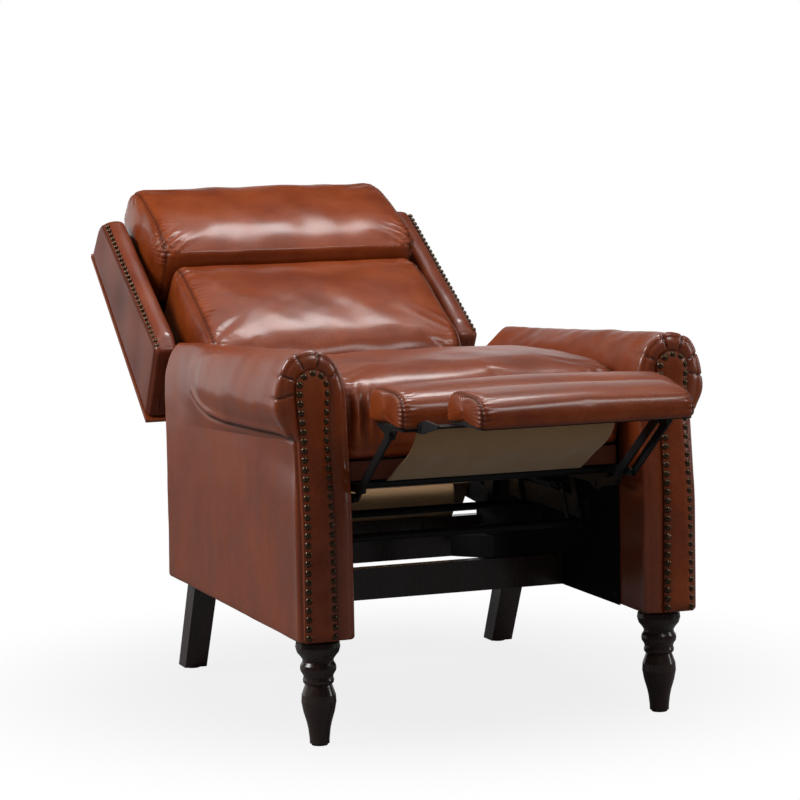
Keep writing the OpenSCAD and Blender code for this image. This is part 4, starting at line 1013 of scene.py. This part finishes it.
def wing_front(z):
    """How far back the front of a wing lies at a height."""
    return straight(z, FRONT_FOOT[::-1], FRONT_TOP[::-1])


def oblong(y_front, y_rear, shrink):
    """Oblong with rounded corners in (x, y), wound once and drawn in all round by shrink."""
    reach, r = WING_HALF - shrink, max(WING_R - shrink * 0.6, 2.0)
    turn = np.linspace(0, math.pi / 2, 7)
    corner = np.stack([np.cos(turn), np.sin(turn)], -1)
    line = []
    for x, y, order in ((1, 1, corner), (-1, 1, corner[::-1]), (-1, -1, corner), (1, -1, corner[::-1])):
        middle = y_rear - shrink - r if y > 0 else y_front + shrink + r
        line.append((x * (reach - r), middle) + order * (x * r, y * r))
    return even(np.concatenate(line), 120, True)


def wing(name, side):
    """Upholstered wing: rounded oblongs carried up between slanting ends, its front face padded out."""
    theta = np.linspace(0, math.pi / 2, 7)[:-1]
    drawn = np.concatenate([[20.5, 15, 10.5], WING_END * 0.75 * (1 - np.sin(theta))])
    lifted = np.concatenate([[0, 0, 0], WING_END * (1 - np.cos(theta))])
    ends = np.zeros(len(drawn))
    shrinks = np.concatenate([drawn, np.zeros(WING_ROWS), drawn[::-1]])
    lifts = np.concatenate([lifted, np.linspace(WING_END, -WING_END, WING_ROWS), -lifted[::-1]])
    shares = np.concatenate([ends, np.linspace(0, 1, WING_ROWS), ends + 1])
    grid = []
    for shrink, lift, share in zip(shrinks, lifts, shares):
        y_front = wing_front(FRONT_FOOT[1] + share * (FRONT_TOP[1] - FRONT_FOOT[1]))
        x, y = oblong(y_front, REAR_FOOT[0], shrink).T
        low, high = straight(y, FRONT_FOOT, REAR_FOOT), straight(y, FRONT_TOP, REAR_TOP)
        high = high - CORNER_DROP * np.clip(1 - (y - y_front) / 42, 0, 1) ** 2
        grid.append(np.stack([x, y, low + (high - low) * share + lift], -1))
    grid = np.stack(grid)
    n = normals_of(grid)
    x, z = grid[..., 0], grid[..., 2]
    facing = np.clip(-n[..., 1], 0, 1)
    across = np.sqrt(np.clip(1 - ((x + 4.5) / 17.5) ** 2, 0, 1))
    ends = ease((z - 362) / 30) * ease((782 - z) / 30)
    front = (WING_PAD * facing * across - 0.8 * bell(x - 13.5, 3.2) * facing**2) * ends
    waves = 0.8 * ripple(grid, 80, 41 + side) * (1 - np.abs(n[..., 0])) + 0.5 * ripple(grid, 150, 44 + side) * ends
    grid = grid + n * (front + waves)[..., None]
    x = grid[..., 0]
    # painted shade in the groove by the nails and along the outer edge
    fold = np.clip(0.4 * bell(x - 12.5, 2.4) * facing**2 + 0.9 * bell(x - 20.2, 1.3), 0, 1)
    points = lean_back((grid + (WING_X, 0, 0)) * (side, 1, 1))
    build_tube("wing_leather_" + name, points, wing_leather, "back", "leather", {"fold": fold, "shine": facing},
               ["wing_" + name])
    z = WING_NAIL_Z
    spots = every(np.stack([0 * z + WING_X + WING_NAIL_X, wing_front(z) - 0.6, z], -1), WING_PITCH)
    out = np.tile([0.12 * side, -0.99, 0.11], (len(spots), 1))
    nails("wing_nails_" + name, lean_back(spots * (side, 1, 1)), unit(lean_back(out) - HINGE), "back", WING_NAIL)


for name, side in SIDES:
    wing(name, side)


# Rear panel and cloths

# Half widths of the rear panel, its foot, the height where it steps in, and its thickness
WIDE, NARROW, BACK_FOOT, STEP_Z, REAR_THICK = 315.0, 226.0, 70.0, 332.0, 12.4


def rear_half(z):
    """Half width of the rear panel: wide behind the wings, narrow between the arms."""
    return np.where(z >= STEP_Z, WIDE, NARROW)


def in_rear_panel(x, z):
    """Distance in from the outline of the rear panel."""
    x = np.abs(x)
    ledge = np.where(x > NARROW, z - STEP_Z, np.hypot(NARROW - x, z - STEP_Z))
    upper = np.minimum(np.minimum(WIDE - x, BACK_LEN - z), ledge)
    return np.clip(np.where(z >= STEP_Z, upper, np.minimum(NARROW - x, z - BACK_FOOT)), 0, None)


REAR_LEVELS = np.concatenate([
    np.linspace(BACK_FOOT, BACK_FOOT + 7, 7), np.linspace(BACK_FOOT + 11, STEP_Z - 0.1, 50),
    np.linspace(STEP_Z, STEP_Z + 8, 8), np.linspace(STEP_Z + 12, BACK_LEN - 11, 88),
    np.linspace(BACK_LEN - 7, BACK_LEN, 7)])
padded_panel("rear_panel_leather", REAR_LEVELS, rear_half, in_rear_panel, y_back=BACK_REAR - REAR_THICK,
             thick=REAR_THICK, dome=5.0, wide=90, body="back", node="back_panel", seed=51, leaning=True, line=0.3)


def rail_band():
    """Leather over the front rail of the seat: a flat rounded section (y, z) carried across the chair, in leather
    darkened as a painted shade, with more painted shade along its top under the seat cushion.
    """
    reach = 1000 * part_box("seat_frame")[1].x - 0.4
    a = np.linspace(0, 2 * math.pi, 49)[:-1]
    blunt = lambda v: np.sign(v) * np.abs(v) ** 0.35
    x = (np.linspace(-1, 1, 90) * reach)[:, None] + 0 * a
    y = SEAT_FRONT - 0.75 + 0.7 * blunt(np.cos(a)) + 0 * x
    grid = np.stack([x, y, 426 + 15.2 * blunt(np.sin(a)) + 0 * x], -1)
    grid[..., 1] -= np.where(np.cos(a) < 0, 0.3, 0) * (1 + ripple(grid * (1, 0, 0.4), 60, 61))
    # painted shade along the band's top, under the seat cushion
    marks = {"fold": 0.4 * bell(grid[..., 2] - 441, 5)}
    build_tube("seat_rail_leather", grid, shaded_rail_leather, "seat", "leather", marks)


rail_band()

# Thickness of the canvas, and half the width of the cloth at the foot of the back
CLOTH_THICK, FOOT_HALF = 1.2, 193.0


def hang(path, half, sag, seed, n_across, n_along, wave):
    """Cloth on a path in (y, z): across the chair it sags by sag * (1 - s^2) and carries soft folds along its fall.
    Returns its points, its flat cut in metres and the length of the path."""
    line = even(path, n_along, False)
    run = run_of(line)
    s = np.linspace(-1, 1, n_across)[None]
    v = np.linspace(0, 1, n_along)[:, None]
    folds = wave * (np.sin(s * 9 + 2 * v + seed) * 0.6 + np.sin(s * 23 - 3 * v + seed) * 0.3)
    drop = (sag * (1 - s**2) + folds) * np.sin(math.pi * v)
    grid = np.stack(np.broadcast_arrays(s * half, line[:, :1], line[:, 1:] - drop), -1)
    flat = np.stack(np.broadcast_arrays(s * half, run[:, None]), -1) * 0.001
    return grid, flat, run[-1]


CLOTH_HALF = 1000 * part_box("gap_cloth")[1].x - 1.0
CLOTH_SHARES = np.array([[0, 0], [0.03, 0.17], [0.1, 0.33], [0.2, 0.45], [0.34, 0.56], [0.5, 0.66], [0.66, 0.76],
                         [0.82, 0.88], [1, 1]])
CLOTH_START = np.array([PAD_REAR - 0.25 * PAD_D, 516 - 0.9])
CLOTH_END = np.array([SEAT_FRONT - 1.9, 408.0])
fall = through(CLOTH_START + CLOTH_SHARES * (CLOTH_END - CLOTH_START), 8, False) + (1.0, 0)
grid, flat, fall_length = hang(fall, CLOTH_HALF, sag=5.0, seed=2, n_across=90, n_along=60, wave=2.2)
gap_cloth = build_sheet("gap_cloth_canvas", grid, canvas, "seat", flat)
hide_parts("gap_cloth")
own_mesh(gap_cloth)

foot_path = through(np.array([
    [FRAME_FRONT - 1.0, 59], [FRAME_FRONT - 1.0, 20], [FRAME_FRONT + 5, -12], [FRAME_FRONT + 28, -28], [78, -32],
    [95, -20], [BACK_REAR - 0.8, -1]]) + (0, BACK_FOOT), 8, False)
grid, flat, foot_length = hang(foot_path, FOOT_HALF, sag=0.0, seed=4, n_across=80, n_along=40, wave=0.7)
dust_cloth = build_sheet("foot_cloth_canvas", lean_back(grid), canvas, "back", flat)
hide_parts("back_dust_cloth")


# Springs and small steel

# Ends of a tension spring in (y, z), its place across the chair, and its coils
SPRING_START, SPRING_END, SPRING_X = np.array([208.0, 350.0]), np.array([349.0, 355.0]), 211.5
COIL_R, WIRE_R, COILS, COIL_STEPS, HOOK = 5.4, 1.1, 18, 14, 3.3


def spring(name, side):
    """Tension spring: even coils between two straight hooks, stretched straight between the carrying links and the
    seat.
    """
    ahead = SPRING_END - SPRING_START
    half = (np.linalg.norm(ahead) - 4.6) / 2
    steps = COILS * COIL_STEPS
    k = np.arange(steps + 1)
    rise = COIL_R * np.minimum(1, np.minimum(k, steps - k) / (COIL_STEPS / 2))
    angle = 2 * math.pi * k / COIL_STEPS
    coil = np.stack([0.72 * half * (2 * k / steps - 1), rise * np.sin(angle), rise * np.cos(angle)], -1)
    hook = np.array([[-half, 0, 0], [HOOK - half, 0, 0]])
    path = np.concatenate([hook, coil, -hook[::-1]])
    # a slight advance along the whole wire keeps its directions apart
    path[:, 0] += 1e-4 * np.arange(len(path))
    t = unit(np.gradient(path, axis=0))
    u = unit(np.cross([0.3, 0.1, 1.0], t))
    ring = np.linspace(0, 2 * math.pi, 9)[:-1, None]
    grid = path[:, None] + WIRE_R * (np.cos(ring) * u[:, None] + np.sin(ring) * np.cross(t, u)[:, None])
    d = unit(ahead)
    along, over = grid[..., :1] * d, grid[..., 2:] * (-d[1], d[0])
    points = np.concatenate([SPRING_X - grid[..., 1:2], (SPRING_START + SPRING_END) / 2 + along + over], -1)
    obj = build_tube("tension_spring_wire_" + name, points * (side, 1, 1), spring_steel, None, "spring_steel")
    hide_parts("tension_spring_" + name)
    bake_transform(obj)


for name, side in SIDES:
    spring(name, side)

SCREW = [(4.6, 0.0), (4.6, 0.7), (4.0, 1.5), (2.6, 2.1), (2.2, 2.1), (2.0, 1.2), (0.4, 1.0)]
# Screws of the lining board in (y, z)
SCREW_SPOTS = np.array([[157, 398], [104, 409], [158, 377], [369, 277], [60, 440], [60, 190], [420, 440], [640, 440],
                        [640, 190], [300, 190]], float)
shape, faces = lathe(SCREW, 14)
for name, side in SIDES:
    places = np.insert(SCREW_SPOTS, 0, 246.0 * side, axis=1)
    axes = np.tile(np.array([[0, 1.0, 0], [0, 0, 1.0 * -side], [-side, 0, 0.0]]), (len(places), 1, 1))
    many("lining_screws_" + name, shape, faces, places, axes, black_steel, "base")


# Floor, light and camera

# Half the floor's width, in metres
FLOOR = 4.5


def make_floor():
    """Pale floor that shows white to the camera away from the chair and keeps the chair's soft shadow."""
    f = Finish("pale_floor", roughness=0.7, specular_ior_level=0.1)
    f.give(base_color=(0.15, 0.15, 0.15))
    x, y, _ = f.node("ShaderNodeSeparateXYZ", None, {0: f.place()})
    away = (x * x + y * y) ** 0.5
    fade = f.step(away, 0.3, 0.95, 0.84, 1.0)
    seen = f.node("ShaderNodeLightPath")[0]
    glow = f.node("ShaderNodeEmission", None, {0: (1, 1, 1)})[0]
    shown = f.node("ShaderNodeMixShader", None, {0: fade * seen, 1: Value(f, f.shader.outputs[0]), 2: glow})[0]
    f.put(f.tree.nodes["Material Output"].inputs[0], shown)
    return f.material


floor_mesh = bpy.data.meshes.new("floor")
corners = [(-FLOOR, -FLOOR, 0), (FLOOR, -FLOOR, 0), (FLOOR, FLOOR, 0), (-FLOOR, FLOOR, 0)]
floor_mesh.from_pydata(corners, [], [(0, 1, 2, 3)])
floor = bpy.data.objects.new("floor", floor_mesh)
bpy.context.scene.collection.objects.link(floor)
floor_mesh.materials.append(make_floor())
floor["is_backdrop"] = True

# What the world gives: to diffuse rays, and to mirrored rays from the dark room and from the pale backdrop
FILL, SHADE, MIRRORED = 0.5, 0.03, 0.9
world = bpy.data.worlds.new("studio")
bpy.context.scene.world = world
world.use_nodes = True
tree = world.node_tree
light_path = tree.nodes.new("ShaderNodeLightPath")
toward = tree.nodes.new("ShaderNodeSeparateXYZ")
tree.links.new(tree.nodes.new("ShaderNodeTexCoord").outputs["Generated"], toward.inputs[0])


def join(value, socket):
    """Gives a socket of the world a number, or links it to another node's socket."""
    if isinstance(value, float):
        socket.default_value = value
    else:
        tree.links.new(value, socket)


def limits(axis, start, end, from_value, to_value):
    """Smooth change of a value with one part of a ray's direction."""
    made = tree.nodes.new("ShaderNodeMapRange")
    made.interpolation_type = "SMOOTHSTEP"
    for socket, value in zip(made.inputs, (toward.outputs[axis], start, end, from_value, to_value)):
        join(value, socket)
    return made.outputs[0]


# mirrored rays see the pale backdrop low behind the chair, and the dark room above and in front of it
behind = limits("Y", 0.2, 0.75, SHADE, limits("Z", 0.1, 0.45, MIRRORED, SHADE))
strength = FILL
for ray, value in (("Is Glossy Ray", behind), ("Is Transmission Ray", behind), ("Is Camera Ray", 1.0)):
    level = tree.nodes.new("ShaderNodeMix")
    level.data_type = "FLOAT"
    join(light_path.outputs[ray], level.inputs[0])
    join(strength, level.inputs[2])
    join(value, level.inputs[3])
    strength = level.outputs[0]
background = tree.nodes["Background"]
background.inputs[0].default_value = (1, 1, 1, 1)
join(strength, background.inputs[1])


def placed(x, y, z, place):
    """Matrix of an object at a place, with its own axes in the given directions."""
    made = Matrix(np.stack([x, y, z], 1).tolist()).to_4x4()
    made.translation = place
    return made


def lamp(name, place, aim, width, height, watts):
    """Soft box: an area light at a place, facing a point, both in metres."""
    data = bpy.data.lights.new(name, "AREA")
    data.shape, data.size, data.size_y, data.energy = "RECTANGLE", width, height, watts
    obj = bpy.data.objects.new(name, data)
    bpy.context.scene.collection.objects.link(obj)
    z = -unit(np.array(aim, float) - place)
    x = unit(np.cross([0.0, 0.02, 1.0], z))
    obj.matrix_world = placed(x, np.cross(z, x), z, place)


lamp("overhead_box", (0.1, 0.1, 2.7), (0, 0, 0.5), 2.4, 2.0, 17)
lamp("key_box", (0.55, 0.5, 2.6), (0, 0.1, 0.6), 0.6, 0.6, 20)
lamp("front_box", (0.9, -1.9, 2.5), (0, -0.1, 0.6), 0.9, 0.4, 17)
lamp("left_box", (-2.2, 0.1, 2.1), (0, 0.1, 0.4), 1.2, 1.2, 66)
lamp("right_box", (2.6, -1.1, 1.2), (0, 0, 0.5), 0.35, 1.6, 12)

# Camera fitted to the photograph: where it stands and looks, its lens and its roll
CAMERA_PLACE, CAMERA_AHEAD, CAMERA_LENS, CAMERA_ROLL = [-1787, -4361, 1035], [0.3494, 0.9309, -0.1063], 134.24, -1.01
camera_data = bpy.data.cameras.new("camera")
camera = bpy.data.objects.new("camera", camera_data)
bpy.context.scene.collection.objects.link(camera)
bpy.context.scene.camera = camera
camera_data.sensor_width, camera_data.lens = 36.0, CAMERA_LENS
camera_data.clip_start, camera_data.clip_end = 0.1, 60.0
ahead = unit(np.array(CAMERA_AHEAD))
level_x = unit(np.cross(ahead, [0, 0, 1.0]))
level_y = np.cross(level_x, ahead)
c, s = math.cos(math.radians(CAMERA_ROLL)), math.sin(math.radians(CAMERA_ROLL))
camera.matrix_world = placed(level_x * c + level_y * s, level_y * c - level_x * s, -ahead, to_frame(CAMERA_PLACE))

bpy.context.scene.view_settings.view_transform = "Standard"

low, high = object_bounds()
